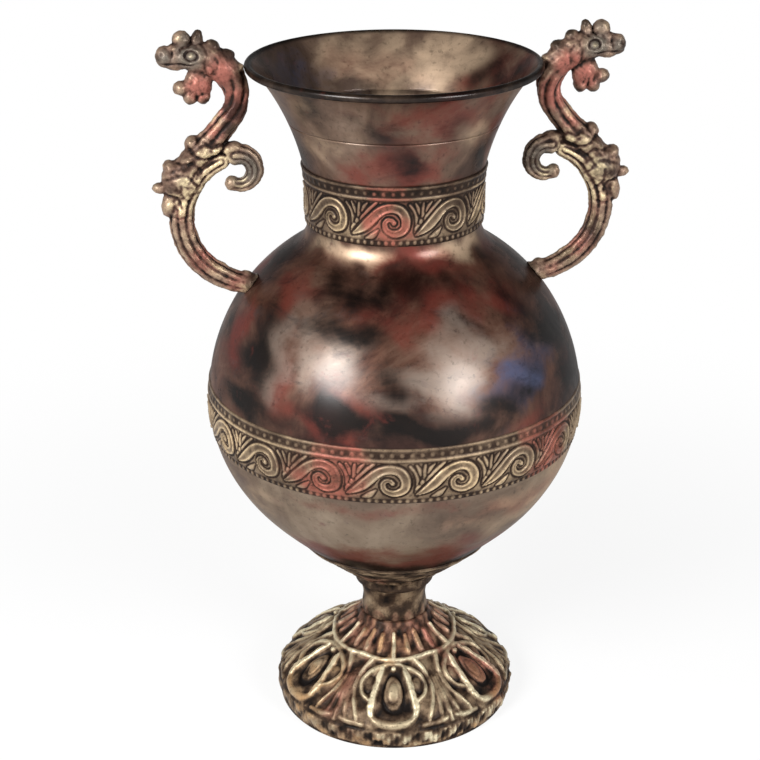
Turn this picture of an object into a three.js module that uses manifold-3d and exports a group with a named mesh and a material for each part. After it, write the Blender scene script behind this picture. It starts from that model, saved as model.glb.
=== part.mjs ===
// A footed metal amphora: a spun sheet body with two embossed bands, a pressed foot and two cast
// griffin handles. Millimetres, +Z up. The origin is the middle of the foot's underside, and the
// handles stand along X.
import * as THREE from "three";
import { mergeVertices } from "three/addons/utils/BufferGeometryUtils.js";
import Module from "manifold-3d";

const wasm = await Module();
wasm.setup();

// Sheet, joints and roundness
const sheet = 1.0; // wall of the spun pieces
const seatGap = 0.3; // left between pieces that sit on each other
const lapLength = 9; // how far a spun piece slides into the next one
const lapStep = 1.6; // height in which the wall steps in to its lap
const sides = 26; // facets round the spun pieces
const smallSides = 12; // facets round bolts, screws and washers

// Foot
const footRadius = 78; // at its widest, a little above the ground
const footHeight = 59;
const footTopRadius = 22;
const footBaseRadius = 75.8; // at the ground
const footRollHeight = 10; // ground to the widest place
const footWall = 2.6; // pressed wall, measured from the dome's outline
const hemWidth = 6; // flat ring that the foot stands on
const panelCount = 6;
const panelColumns = 10; // facets round one panel
const frontTurn = THREE.MathUtils.degToRad(-8); // of the front panel and scroll, from -Y towards -X
const ribHeight = 1.6; // of the relief above its field
const moatDepth = 0.9; // of the relief below its field
const fieldDepth = 0.8; // of the field below the dome's outline

// Stem and the saucer under the bowl
const stemHeight = 23;
const stemTopRadius = 23;
const stemWaistRadius = 20.3;
const collarHeight = 5;
const collarRadius = 25.4;

// Globe
const globeRadius = 115;
const bowlDepth = 126.5; // floor of the bowl to the equator
const bowlFloorRadius = 24.5;
const shoulderBend = 3; // where the globe turns up into the neck

// Neck, mouth and lip
const neckRadius = 52;
const neckCove = 9; // how far the neck spreads where it stands on the globe
const neckStraight = 29; // shoulder to the start of the flare
const flareHeight = 74.4; // start of the flare to the middle of the lip
const mouthJoint = 43; // start of the flare to the joint of neck and mouth
const rimRadius = 86.65; // outside of the rolled lip
const lipSlope = THREE.MathUtils.degToRad(47); // of the wall as it reaches the lip
const wireRadius = 1.0;

// Embossed strip, the same stock on the neck and on the belly
const stripHeight = 36;
const stripField = 0.9; // thickness between the borders
const stripBorder = 1.9; // thickness at the borders
const borderWidth = 3.4;
const neckBandRise = 10; // above the shoulder
const scrollCount = 9; // repeats round the neck
const scrollEye = 14; // middle of the spiral above the strip's lower edge
const scrollRise = 1.1; // of the ridge above the strip's field
const bellyBandDrop = 3; // middle of the strip below the equator

// Handles
const legRadius = 40.5; // sweep of the fluted leg
const legWidth = 15;
const legDepth = 13;
const seatRise = 77; // where the leg meets the globe, above the equator
const voluteRadius = 10;
const neckWidth = 15.5;
const fluteDepth = 0.14; // share of the leg's half width

// Fasteners
const boltRadius = 4;
const boltHeadAcross = 13;
const boltHeadHeight = 5.3;
const nutHeight = 6.5;
const boltEnd = 4; // bolt past its nut
const screwRadius = 2;
const screwHeadRadius = 3.6;
const screwHeadHeight = 2.4;
const screwReach = 7; // into the leg of the handle
const washerThickness = 1.5;
const washerBorder = 4; // ring round the hole

// Heights, from the ground up
const stemTop = footHeight + stemHeight;
const bowlFloor = stemTop + collarHeight;
const equator = bowlFloor + bowlDepth;
const shoulder = equator + Math.sqrt(globeRadius ** 2 - neckRadius ** 2);
const flareStart = shoulder + neckStraight;
const lipHeight = flareStart + flareHeight;
const jointHeight = flareStart + mouthJoint;
const collarWall = neckRadius - sheet - seatGap; // outside of the globe's collar, in the neck
const boltHole = boltRadius + seatGap;
const screwHole = screwRadius + seatGap;

const at = (x, y) => new THREE.Vector2(x, y);
const polar = (centre, radius, angle) =>
  at(centre.x + radius * Math.cos(angle), centre.y + radius * Math.sin(angle));
const degrees = THREE.MathUtils.degToRad;
const range = (count) => [...Array(count).keys()];

// Finishes
const finish = (color, roughness, metalness) =>
  new THREE.MeshStandardMaterial({ color, roughness, metalness });
const darkBronze = finish(0x3d2822, 0.32, 0.85);
const mouthBronze = finish(0x4a3d33, 0.4, 0.85);
const bandBronze = finish(0x6b5a48, 0.45, 0.8);
const castBronze = finish(0x70503f, 0.5, 0.75);
const footBronze = finish(0x75654c, 0.5, 0.75);
const steel = finish(0x8d8f90, 0.4, 1.0);

const amphora = new THREE.Group();

function place(name, geometry, material) {
  const mesh = new THREE.Mesh(geometry, material);
  mesh.name = name;
  amphora.add(mesh);
  return mesh;
}

// A turned solid: the outline is radius and height, in a closed loop or from axis to axis.
function turned(outline, facets = sides) {
  return new THREE.LatheGeometry(outline, facets).rotateX(Math.PI / 2);
}

// The same line moved to its left, which is inwards on a wall that is drawn upwards.
function offset(line, distance) {
  return line.map((point, i) => {
    const before = line[Math.max(i - 1, 0)];
    const after = line[Math.min(i + 1, line.length - 1)];
    const along = after.clone().sub(before).normalize();
    return at(point.x - along.y * distance, point.y + along.x * distance);
  });
}

// A sheet wall: its outer line, and the same line one wall further in.
function sheetWall(outer) {
  return [...outer, ...offset(outer, sheet).reverse(), outer[0].clone()];
}

// Solids for cuts and joins
function solid(geometry) {
  const bare = geometry.clone();
  bare.deleteAttribute("normal");
  bare.deleteAttribute("uv");
  const merged = mergeVertices(bare, 1e-4);
  const mesh = new wasm.Mesh({
    numProp: 3,
    vertProperties: new Float32Array(merged.attributes.position.array),
    triVerts: new Uint32Array(merged.index.array),
  });
  return new wasm.Manifold(mesh);
}

function geometryOf(body) {
  const mesh = body.getMesh();
  const geometry = new THREE.BufferGeometry();
  geometry.setAttribute("position", new THREE.BufferAttribute(mesh.vertProperties, 3));
  geometry.setIndex(new THREE.BufferAttribute(mesh.triVerts, 1));
  return geometry;
}

// Rings of points joined into one closed skin, with a flat cap at each end, or end to end when looped.
function skin(rings, looped = false) {
  const count = rings[0].length;
  const faces = [];
  const spans = looped ? rings.length : rings.length - 1;
  for (const i of range(spans)) {
    const low = i * count;
    const high = ((i + 1) % rings.length) * count;
    for (const k of range(count)) {
      const next = (k + 1) % count;
      faces.push(low + k, low + next, high + next, low + k, high + next, high + k);
    }
  }
  if (!looped) {
    const last = (rings.length - 1) * count;
    for (let k = 1; k < count - 1; k++) {
      faces.push(0, k + 1, k, last, last + k, last + k + 1);
    }
  }
  const geometry = new THREE.BufferGeometry().setFromPoints(rings.flat());
  geometry.setIndex(faces);
  return geometry;
}

// Lines of the body that its pieces share

const equatorCentre = at(0, equator);
const globeHeight = (radius) => equator + Math.sqrt(globeRadius ** 2 - radius ** 2);

// The globe's upper half from the equator to where the shoulder turns up, on a sphere of the given radius.
const arcSteps = 6;
const arcSpan = Math.acos((collarWall + shoulderBend) / globeRadius);

function globeArc(globe) {
  return range(arcSteps + 1).map((i) => polar(equatorCentre, globe, (arcSpan * i) / arcSteps));
}

// How far the middle of a facet can lie inside the round globe
const facetDepth = globeRadius * (1 - Math.cos(Math.PI / sides) * Math.cos(arcSpan / arcSteps / 2));

// The bowl swells from a cone above its floor to the upright wall at the equator.
const bowlCurve = new THREE.CubicBezierCurve(
  at(bowlFloorRadius, bowlFloor),
  at(bowlFloorRadius + 0.5 * (globeRadius - bowlFloorRadius), bowlFloor + 0.29 * bowlDepth),
  at(globeRadius, bowlFloor + 0.57 * bowlDepth),
  at(globeRadius, equator),
);

// The trumpet of neck and mouth, up to where the wall starts to roll round the wire.
const rollRadius = wireRadius + seatGap;
const lipCentre = at(rimRadius - rollRadius - sheet, lipHeight);
const lipStart = polar(lipCentre, rollRadius, lipSlope + Math.PI / 2);
const lipReach = 0.33 * flareHeight;
const flareCurve = new THREE.CubicBezierCurve(
  at(neckRadius, flareStart),
  at(neckRadius, flareStart + 0.32 * flareHeight),
  polar(lipStart, -lipReach, lipSlope),
  lipStart,
);

// The point of a rising curve at a height, found by halving.
function pointAtHeight(curve, height) {
  let low = 0;
  let high = 1;
  for (const _ of range(40)) {
    const middle = (low + high) / 2;
    if (curve.getPoint(middle).y < height) low = middle;
    else high = middle;
  }
  return curve.getPoint(low);
}

function lineBetween(curve, from, to, steps) {
  return range(steps + 1).map((i) => pointAtHeight(curve, from + ((to - from) * i) / steps));
}

// The neck's flare as it is faceted, and the wall of neck and belly at a height
const neckFlare = lineBetween(flareCurve, flareStart, jointHeight, 3);

function neckWall(height) {
  if (height < flareStart) return at(neckRadius, height);
  const above = neckFlare.findIndex((point) => point.y > height);
  const [low, high] = [neckFlare[above - 1], neckFlare[above]];
  return low.clone().lerp(high, (height - low.y) / (high.y - low.y));
}

const bellyWall = (height) =>
  height < equator
    ? pointAtHeight(bowlCurve, height)
    : at(Math.sqrt(globeRadius ** 2 - (height - equator) ** 2), height);

// Foot: a pressed dome with a ring of arched panels, and spokes above the ring.

const domeHeight = footHeight - footRollHeight;
const domeCurve = new THREE.CubicBezierCurve(
  at(footRadius, footRollHeight),
  at(footRadius, footRollHeight + 0.33 * domeHeight),
  at(footTopRadius + 0.22 * (footRadius - footTopRadius), footHeight - 0.36 * domeHeight),
  at(footTopRadius, footHeight),
);
const bump = (x, width) => Math.exp(-((x / width) ** 2));

// Rows of points, as shares of the way up the dome: close together where a rib crosses
const domeRows = [0, 0.095, 0.17, 0.27, 0.38, 0.5, 0.61, 0.675, 0.735, 0.82, 0.93, 1];

// Relief at a share of the way up the dome and at an angle from a panel's middle, as a share of the
// panel's half width: an egg in a horseshoe, an arch round both and a dart between two arches.
function footRelief(rise, across) {
  const egg = Math.hypot(across / 0.2, (rise - 0.38) / 0.15);
  const horseshoe = Math.hypot(across / 0.4, Math.min(rise - 0.4, 0) / 0.305);
  const bars = bump(horseshoe - 1, 0.3) + 0.7 * bump(across - 0.8, 0.12);
  const dart = 0.6 * bump(across - 1, 0.12) * bump(rise - 0.2, 0.2);
  const moat = bump(egg - 1.35, 0.3) + 0.5 * bump(across - 0.6, 0.12) * bump(rise - 0.4, 0.3);
  const panel = ribHeight * (bars + dart + 0.6 * bump(egg, 0.8)) - moatDepth * moat;
  const ring = ribHeight * bump(rise - 0.675, 0.03) - moatDepth * bump(rise - 0.735, 0.03);
  const spoke = ribHeight * bump(rise - 0.82, 0.1) * Math.cos(Math.PI * across) ** 2;
  const fade = Math.min(1, rise / 0.04, (1 - rise) / 0.1);
  return fade * ((rise < 0.64 ? panel : spoke) + ring - fieldDepth);
}

function footDome() {
  const columns = panelCount * panelColumns;
  const base = [
    at(boltHole, footHeight),
    at(boltHole, 0),
    at(footBaseRadius, 0),
    at((footBaseRadius + 2 * footRadius) / 3, footRollHeight / 2.5),
  ];
  const outline = (column) => {
    const share = (2 * (column % panelColumns)) / panelColumns;
    const dome = domeRows.map((rise) => {
      const point = domeCurve.getPointAt(rise);
      const along = domeCurve.getTangentAt(rise);
      const relief = footRelief(rise, Math.min(share, 2 - share));
      return at(point.x + along.y * relief, point.y - along.x * relief);
    });
    return [...dome, ...base];
  };
  const rings = range(columns).map((column) => {
    const turn = frontTurn - (2 * Math.PI * column) / columns - Math.PI / 2;
    const spin = (p) => new THREE.Vector3(p.x * Math.cos(turn), p.x * Math.sin(turn), p.y);
    return outline(column).map(spin);
  });
  const ceiling = footHeight - footWall;
  const hollow = [
    at(0, -footWall),
    at(footBaseRadius - hemWidth, -footWall),
    at(footBaseRadius - hemWidth, footWall),
    at(footBaseRadius - footWall, footWall),
    ...offset(domeCurve.getPoints(3), footWall).map((point) => at(point.x, Math.min(point.y, ceiling))),
    at(0, ceiling),
  ];
  return geometryOf(solid(skin(rings, true)).subtract(solid(turned(hollow))));
}

place("foot_dome", footDome(), footBronze);

// Stem: a short spool that narrows downwards, with a bead where it stands on the foot.

const stemFoot = footHeight + seatGap;
const stemBead = 3.2;
const stemCurve = new THREE.QuadraticBezierCurve(
  at(stemWaistRadius, stemFoot + stemBead),
  at(stemWaistRadius, stemFoot + 0.6 * stemHeight),
  at(stemTopRadius, stemTop),
);
const stemOutline = [
  at(boltHole, stemFoot),
  at(stemWaistRadius, stemFoot),
  at(stemWaistRadius + 0.4 * stemBead, stemFoot + 0.5 * stemBead),
  ...stemCurve.getPoints(2),
  at(boltHole, stemTop),
  at(boltHole, stemFoot),
];
place("stem_spool", turned(stemOutline), footBronze);

// Collar: a saucer with a round edge that carries the bowl.

const collarFoot = stemTop + seatGap;
const collarTop = bowlFloor - seatGap;
const collarEdge = (collarTop - collarFoot) / 2;
const edgeCentre = at(collarRadius - collarEdge, collarFoot + collarEdge);
const collarOutline = [
  at(boltHole, collarFoot),
  ...range(4).map((i) => polar(edgeCentre, collarEdge, degrees(-90 + 60 * i))),
  at(boltHole, collarTop),
  at(boltHole, collarFoot),
];
place("bowl_collar", turned(collarOutline), bandBronze);

// Globe: the bowl slides into the upper half, which turns up into the neck.

const [lapFoot, lapFacet] = globeArc(globeRadius - sheet - seatGap);
const lapTop = lapFoot.clone().lerp(lapFacet, lapLength / (lapFacet.y - lapFoot.y));
const bowlOuter = [
  at(boltHole, bowlFloor),
  ...lineBetween(bowlCurve, bowlFloor, equator - 1.5 * lapStep, 6),
  at(lapFoot.x, equator - 0.5 * lapStep),
  lapTop,
];
place("lower_bowl", turned(sheetWall(bowlOuter)), darkBronze);

const globeOuter = [
  ...globeArc(globeRadius),
  at(collarWall, shoulder + shoulderBend),
  at(collarWall, shoulder + lapLength),
];
const seatPoint = at(Math.sqrt(globeRadius ** 2 - seatRise ** 2), equator + seatRise);
const seatTilt = Math.PI / 2 - Math.atan2(seatRise, seatPoint.x);

// A turned piece set on the globe's normal at the foot of the right handle, its own height measured outwards.
function onSeat(geometry) {
  return geometry.rotateY(seatTilt).translate(seatPoint.x, 0, seatPoint.y);
}

function drill(from, to) {
  const rod = [at(0, from), at(screwHole, from), at(screwHole, to), at(0, to)];
  return solid(onSeat(turned(rod, smallSides)));
}

const halfTurn = (body) => body.rotate([0, 0, 180]);
const globeDrill = drill(-2 * sheet - facetDepth, 2 * sheet);
const globeBody = solid(turned(sheetWall(globeOuter)));
const drilledGlobe = globeBody.subtract(globeDrill).subtract(halfTurn(globeDrill));
place("upper_globe", geometryOf(drilledGlobe), darkBronze);

// The space inside the upper half of a smaller or larger globe, for fitting pieces to its wall.
function globeCore(globe) {
  const arc = globeArc(globe);
  return solid(turned([at(0, equator), ...arc, at(0, arc.at(-1).y)]));
}

// Neck: stands on the shoulder with a cove, and flares up to the joint with the mouth.

const neckFoot = neckRadius + neckCove;
const neckOuter = [
  at(neckFoot, globeHeight(neckFoot) + seatGap),
  at(neckRadius + 0.3 * neckCove, shoulder + 0.1 * neckCove),
  at(neckRadius, shoulder + 0.95 * neckCove),
  ...neckFlare,
];
const neckInner = offset(neckOuter, sheet);
const neckStand = neckFoot - 2 * sheet;
neckInner[0] = at(neckStand, globeHeight(neckStand) + seatGap);
neckInner[1].x = neckOuter[1].x - sheet;
place("neck_tube", turned([...neckOuter, ...neckInner.reverse(), neckOuter[0].clone()]), darkBronze);

// Mouth: a spigot inside the neck, the trumpet, and a lip rolled outwards and down round a wire.

const spigotTop = jointHeight + 0.5 * lapStep;
const spigot = offset(lineBetween(flareCurve, jointHeight - lapLength, spigotTop, 1), sheet + seatGap);
const trumpet = lineBetween(flareCurve, jointHeight + 1.5 * lapStep, lipStart.y, 4);
const rollSteps = 4;
const roll = range(rollSteps).map((i) =>
  polar(lipCentre, rollRadius, lipSlope + Math.PI / 2 - (1.5 * Math.PI * (i + 1)) / rollSteps),
);
place("mouth_funnel", turned(sheetWall([...spigot, ...trumpet, ...roll])), mouthBronze);

const wireOutline = range(6).map((i) => polar(lipCentre, wireRadius, degrees(72 * i)));
place("rim_wire", turned(wireOutline), steel);

// Bands: a strip with raised borders, bent round the wall that it covers.

function band(low, wall) {
  const high = low + stripHeight;
  const levels = [low, low + stripHeight / 3, high - stripHeight / 3, high];
  const inner = levels.map((height) => wall(height).add(at(seatGap, 0)));
  const field = [low + 1.3 * borderWidth, low + stripHeight / 2, high - 1.3 * borderWidth];
  const outer = [
    wall(low).add(at(seatGap + stripField, 0)),
    wall(low + borderWidth / 2).add(at(seatGap + stripBorder, 0)),
    ...field.map((height) => wall(height).add(at(seatGap + stripField, 0))),
    wall(high - borderWidth / 2).add(at(seatGap + stripBorder, 0)),
    wall(high).add(at(seatGap + stripField, 0)),
  ];
  return turned([...outer, ...inner.reverse(), outer[0].clone()]);
}

// One repeat of the running scroll: places across and up from its eye, and half widths, at this pitch.
const scrollPitch = 39.6;
const scrollLine = [
  [-25, -7, 1.2],
  [-16.6, -1.2, 3.4],
  [-8.6, 6.2, 3.5],
  [-0.2, 9.1, 3.1],
  [7, 4, 3.1],
  [5.6, -4.4, 2.6],
  [-2.4, -5.2, 1.9],
  [-4.4, 0.4, 1.4],
];

// The scroll as a low ridge on the strip, its edges sunk into the strip's field.
function scrollRidge(low, wall, turn) {
  const strideAngle = (2 * Math.PI) / scrollCount;
  const onStrip = (across, up, lift) => {
    const height = low + scrollEye + up;
    const radius = wall(height).x + seatGap + lift;
    const angle = turn + (across * strideAngle) / scrollPitch;
    return new THREE.Vector3(radius * Math.sin(angle), -radius * Math.cos(angle), height);
  };
  const rings = scrollLine.map(([across, up, half], i) => {
    const before = scrollLine[Math.max(i - 1, 0)];
    const after = scrollLine[Math.min(i + 1, scrollLine.length - 1)];
    const along = at(after[0] - before[0], after[1] - before[1]).setLength(half);
    return [
      onStrip(across - along.y, up + along.x, 0.3 * stripField),
      onStrip(across, up, stripField + scrollRise),
      onStrip(across + along.y, up - along.x, 0.3 * stripField),
    ];
  });
  return solid(skin(rings));
}

function scrolledBand(low, wall) {
  const ridges = range(scrollCount).map((i) =>
    scrollRidge(low, wall, frontTurn + (2 * Math.PI * i) / scrollCount),
  );
  return geometryOf(ridges.reduce((strip, ridge) => strip.add(ridge), solid(band(low, wall))));
}

place("neck_band", scrolledBand(shoulder + neckBandRise, neckWall), bandBronze);
place("belly_band", band(equator - bellyBandDrop - stripHeight / 2, bellyWall), bandBronze);

// Handles: one casting, used twice. The plane of the casting is radius along X and height along Z.

const legCentre = at(seatPoint.x, seatPoint.y + legRadius);
const lipSeat = at(rimRadius, lipHeight);

// The tables of the body and the head were drawn at these sizes, and grow with the leg and the neck.
const bodyUnit = legRadius / 40.5;
const headUnit = neckWidth / 15.5;
const fromLeg = (x, z) => at(legCentre.x + x * bodyUnit, legCentre.y + z * bodyUnit);
const fromLip = (x, z) => at(lipSeat.x + x * headUnit, lipSeat.y + z * headUnit);

// A bar along stations of place, width and depth, with that many ridges round its section.
function ridgedBar(stations, ridges, flute) {
  const rings = stations.map(({ point, width, depth }, i) => {
    const before = stations[Math.max(i - 1, 0)].point;
    const after = stations[Math.min(i + 1, stations.length - 1)].point;
    const along = after.clone().sub(before).normalize();
    return range(2 * ridges).map((k) => {
      const angle = (Math.PI * k) / ridges;
      const reach = k % 2 === 0 ? 0.5 * (1 - flute) : 0.5;
      const across = reach * width * Math.cos(angle);
      return new THREE.Vector3(
        point.x - along.y * across,
        -reach * depth * Math.sin(angle),
        point.y + along.x * across,
      );
    });
  });
  return solid(skin(rings));
}

// A rounded lump of the casting: half length, half height and half depth, turned in the casting's plane.
function lump({ point, half, tilt = 0 }, unit = 1) {
  const facets = Math.max(...half) > 10 ? 8 : 6;
  const [length, height, depth] = half.map((size) => size * unit);
  const ball = new THREE.SphereGeometry(1, facets, facets - 2).scale(length, depth, height);
  return solid(ball.rotateY(-degrees(tilt)).translate(point.x, 0, point.y));
}

// The leg sweeps up from the globe, thins to a ribbon along the haunch and curls in to the volute.
function legAndVolute() {
  const legSteps = 8;
  const voluteSteps = 7;
  const voluteCentre = fromLeg(6.1, 28.5);
  const leg = range(legSteps + 1).map((i) => {
    const angle = -105 + (170 * i) / legSteps;
    const thin = Math.max(0, angle) / 65;
    const taper = Math.max(0, -60 - angle) / 45;
    const width = legWidth * (1 - 0.27 * thin - 0.3 * taper);
    const radius = legRadius + Math.sign(taper - thin) * 0.5 * (legWidth - width);
    const depth = legDepth * (1 - 0.15 * thin);
    return { point: polar(legCentre, radius, degrees(angle)), width, depth };
  });
  const volute = range(voluteSteps + 1).map((i) => {
    const curl = i / voluteSteps;
    return {
      point: polar(voluteCentre, voluteRadius * (1 - 0.12 * curl), degrees(75 + 210 * curl)),
      width: voluteRadius * (1.3 - 0.4 * curl),
      depth: legDepth * (0.85 - 0.25 * curl),
    };
  });
  const tip = volute.at(-1);
  const knobHalf = [0.48 * tip.width, 0.56 * tip.width, 0.55 * tip.depth];
  const bar = ridgedBar([...leg, ...volute], 6, fluteDepth);
  return bar.add(lump({ point: tip.point, half: knobHalf }));
}

// The neck leaves the body, leans back under the lip and comes forward into the head.
function griffinNeck() {
  const places = [
    [fromLeg(34, 32), 1.1],
    [fromLeg(27, 41), 1.05],
    [fromLeg(19, 49.5), 0.97],
    [fromLip(12, -32), 1],
    [fromLip(5.8, -23.5), 0.95],
    [fromLip(4.4, -14.5), 0.95],
    [fromLip(6.6, -6.5), 1.05],
    [fromLip(12, 0.5), 1.2],
    [fromLip(20, 6), 1.1],
  ];
  const stations = places.map(([point, swell]) => {
    const width = neckWidth * swell;
    return { point, width, depth: 0.9 * width };
  });
  return ridgedBar(stations, 4, 0.5 * fluteDepth);
}

// Body, claw and leaf of the casting, set from the middle of the leg's sweep.
const bodyLumps = [
  { point: fromLeg(39.6, 24.5), half: [13, 12.6, 9.8], tilt: 118 },
  { point: fromLeg(27.5, 41), half: [9.5, 5.5, 9], tilt: -38 },
  { point: fromLeg(10, 42), half: [6.5, 4.2, 5.5], tilt: -10 },
  { point: fromLeg(52.3, 19.3), half: [5, 3.4, 3.6], tilt: 4 },
  { point: fromLeg(47.4, 9.8), half: [4.6, 8.6, 5.4], tilt: 10 },
];

// Skull, beak, jaw, beard and crest, set from the outside of the lip.
const headLumps = [
  { point: fromLip(25, 7), half: [12.5, 8.8, 8.2] },
  { point: fromLip(37, 7.5), half: [11.5, 6, 6.6] },
  { point: fromLip(44.4, 8.2), half: [5.3, 6, 5.4] },
  { point: fromLip(26, -8.5), half: [8.5, 9.5, 6.4] },
  { point: fromLip(36.4, -10.4), half: [5, 4.2, 4.6], tilt: 15 },
  { point: fromLip(31.2, -15.2), half: [4.4, 4.9, 5] },
  { point: fromLip(23.8, -14.9), half: [4.4, 5, 5] },
  { point: fromLip(10.8, 7), half: [5.6, 3.9, 5], tilt: -12 },
  { point: fromLip(17.6, 12.3), half: [4.6, 4.6, 4.6] },
  { point: fromLip(25.8, 17.4), half: [3.4, 6.4, 3.8] },
  { point: fromLip(35, 17), half: [5.5, 5.8, 5.2] },
];
const eye = { point: fromLip(29.4, 9.4), ring: 4.8, ball: 2.2, low: 7.6, high: 8.9 };

// A ringed eye on each face: a ball in a hollow, with a raised ring round it.
function eyes() {
  const outline = [
    at(0, 0),
    at(eye.ring, 0),
    at(0.78 * eye.ring, eye.high),
    at(eye.ball, eye.low),
    at(0, eye.high),
  ];
  const boss = turned(outline, 8).scale(headUnit, headUnit, headUnit);
  return [-1, 1].map((side) => {
    const turnedOut = boss.clone().rotateX((-side * Math.PI) / 2);
    return solid(turnedOut.translate(eye.point.x, 0, eye.point.y));
  });
}

// The lip's outside, one seat gap larger, cut into the back of the neck.
function lipGroove() {
  const radius = rollRadius + sheet + seatGap;
  const outline = range(13).map((i) => polar(lipCentre, radius, lipSlope + degrees(30 * i)));
  return solid(turned(outline));
}

function griffinHandle() {
  const body = bodyLumps.map((place) => lump(place, bodyUnit));
  const head = headLumps.map((place) => lump(place, headUnit));
  const pieces = [legAndVolute(), griffinNeck(), ...body, ...head, ...eyes()];
  return pieces
    .reduce((casting, piece) => casting.add(piece))
    .subtract(globeCore(globeRadius + seatGap))
    .subtract(lipGroove())
    .subtract(drill(-sheet - facetDepth, screwReach + seatGap));
}

const handleGeometry = geometryOf(griffinHandle());

// Screws and washers that hold the legs from inside the globe

const washerSeat = -facetDepth - sheet - seatGap - washerThickness;
const screwHead = washerSeat - seatGap;

function handleScrew() {
  const outline = [
    at(0, screwHead - screwHeadHeight),
    at(screwHeadRadius, screwHead - screwHeadHeight),
    at(screwHeadRadius, screwHead),
    at(screwRadius, screwHead),
    at(screwRadius, screwReach),
    at(0, screwReach),
  ];
  return onSeat(turned(outline, smallSides));
}

function washerRing(hole, low, high) {
  const edge = hole + washerBorder;
  const outline = [at(hole, low), at(edge, low), at(edge, high), at(hole, high), at(hole, low)];
  return turned(outline, smallSides);
}

function screwWasher() {
  const disc = solid(onSeat(washerRing(screwHole, washerSeat, 0)));
  return geometryOf(disc.intersect(globeCore(globeRadius - sheet - seatGap)));
}

for (const [side, turn] of [["right", 0], ["left", Math.PI]]) {
  place(side + "_handle", handleGeometry, castBronze).rotation.z = turn;
  place(side + "_handle_screw", handleScrew(), steel).rotation.z = turn;
  place(side + "_screw_washer", screwWasher(), steel).rotation.z = turn;
}

// Tie bolt through bowl, collar, stem and foot, with its nut under the dome

function hexagon(across) {
  const corners = range(6).map((i) => polar(at(0, 0), across / Math.sqrt(3), degrees(60 * i)));
  return new THREE.Shape(corners);
}

const upperWasher = bowlFloor + sheet + seatGap;
const lowerWasher = footHeight - footWall - seatGap - washerThickness;
const headSeat = upperWasher + washerThickness + seatGap;
const nutFoot = lowerWasher - seatGap - nutHeight;

const shankOutline = [
  at(0, nutFoot - boltEnd),
  at(boltRadius, nutFoot - boltEnd),
  at(boltRadius, headSeat + boltHeadHeight / 2),
  at(0, headSeat + boltHeadHeight / 2),
];
const boltShank = turned(shankOutline, smallSides);
const extruded = (shape, depth, low) =>
  new THREE.ExtrudeGeometry(shape, { depth, bevelEnabled: false, curveSegments: 9 }).translate(0, 0, low);
const boltHead = extruded(hexagon(boltHeadAcross), boltHeadHeight, headSeat);
place("tie_bolt", geometryOf(solid(boltShank).add(solid(boltHead))), steel);

const nutShape = hexagon(boltHeadAcross);
nutShape.holes.push(new THREE.Path().absarc(0, 0, boltHole, 0, 2 * Math.PI));
place("tie_nut", extruded(nutShape, nutHeight, nutFoot), steel);
place("bolt_washer", washerRing(boltHole, upperWasher, upperWasher + washerThickness), steel);
place("foot_washer", washerRing(boltHole, lowerWasher, lowerWasher + washerThickness), steel);

export default amphora;
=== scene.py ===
"""Looks of a footed metal amphora: patinated sheet, embossed strips, a pressed foot and griffin handles."""
import math

import bpy
import numpy as np
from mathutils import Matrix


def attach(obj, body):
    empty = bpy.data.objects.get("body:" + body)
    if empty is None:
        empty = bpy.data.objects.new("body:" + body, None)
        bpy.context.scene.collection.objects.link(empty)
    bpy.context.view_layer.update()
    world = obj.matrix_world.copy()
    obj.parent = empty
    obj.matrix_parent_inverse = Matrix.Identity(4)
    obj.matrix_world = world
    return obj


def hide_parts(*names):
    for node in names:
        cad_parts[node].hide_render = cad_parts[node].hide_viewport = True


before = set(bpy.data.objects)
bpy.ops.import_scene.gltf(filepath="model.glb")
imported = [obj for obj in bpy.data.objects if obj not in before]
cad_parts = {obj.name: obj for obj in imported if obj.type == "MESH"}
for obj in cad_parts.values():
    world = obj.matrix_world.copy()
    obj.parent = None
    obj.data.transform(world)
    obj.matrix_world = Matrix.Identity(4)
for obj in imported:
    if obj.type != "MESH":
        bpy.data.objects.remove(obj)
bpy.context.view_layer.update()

MM = 0.001

# Sizes in millimetres, the same as the solids' apart from CALYX_TOP, where the leaves on the bowl end
SHEET = 1.0
GAP = 0.3
BOLT_HOLE = 4.3
FOOT_RADIUS = 78.0
FOOT_HEIGHT = 59.0
FOOT_TOP = 22.0
FOOT_BASE = 75.8
FOOT_ROLL = 10.0
FOOT_WALL = 2.6
HEM = 6.0
STEM_TOP = 82.0
STEM_TOP_RADIUS = 23.0
STEM_WAIST = 20.3
COLLAR_TOP = 86.7
CALYX_TOP = 119.0
BOWL_FLOOR = 87.0
BOWL_FLOOR_RADIUS = 24.5
BOWL_DEPTH = 126.5
GLOBE = 115.0
EQUATOR = BOWL_FLOOR + BOWL_DEPTH
NECK = 52.0
NECK_COVE = 9.0
NECK_STRAIGHT = 29.0
SHOULDER = EQUATOR + math.sqrt(GLOBE**2 - NECK**2)
FLARE_START = SHOULDER + NECK_STRAIGHT
FLARE_HEIGHT = 74.4
MOUTH_JOINT = FLARE_START + 43.0
LIP_HEIGHT = FLARE_START + FLARE_HEIGHT
LIP_SLOPE = math.radians(47)
RIM = 86.65
ROLL = 1.3
STRIP = 36.0
NECK_BAND_LOW = SHOULDER + 10.0
BELLY_BAND_LOW = EQUATOR - 21.0
LEG_CENTRE = (85.42, 331.0)
LEG_RADIUS = 40.5
LEG_WIDTH = 15.0
LEG_DEPTH = 13.0
VOLUTE = 10.0
NECK_WIDTH = 15.5

# Where the camera stands, turned from -Y towards -X, and how far the embossed repeats are turned from it
VIEW_TURN = math.radians(-7.5)
PRESS_TURN = math.radians(-0.6)


# Lines, grids and pieces

def bump(x, width):
    """1 where x is 0, falling off to both sides."""
    return np.exp(-(x / width)**2)


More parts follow.
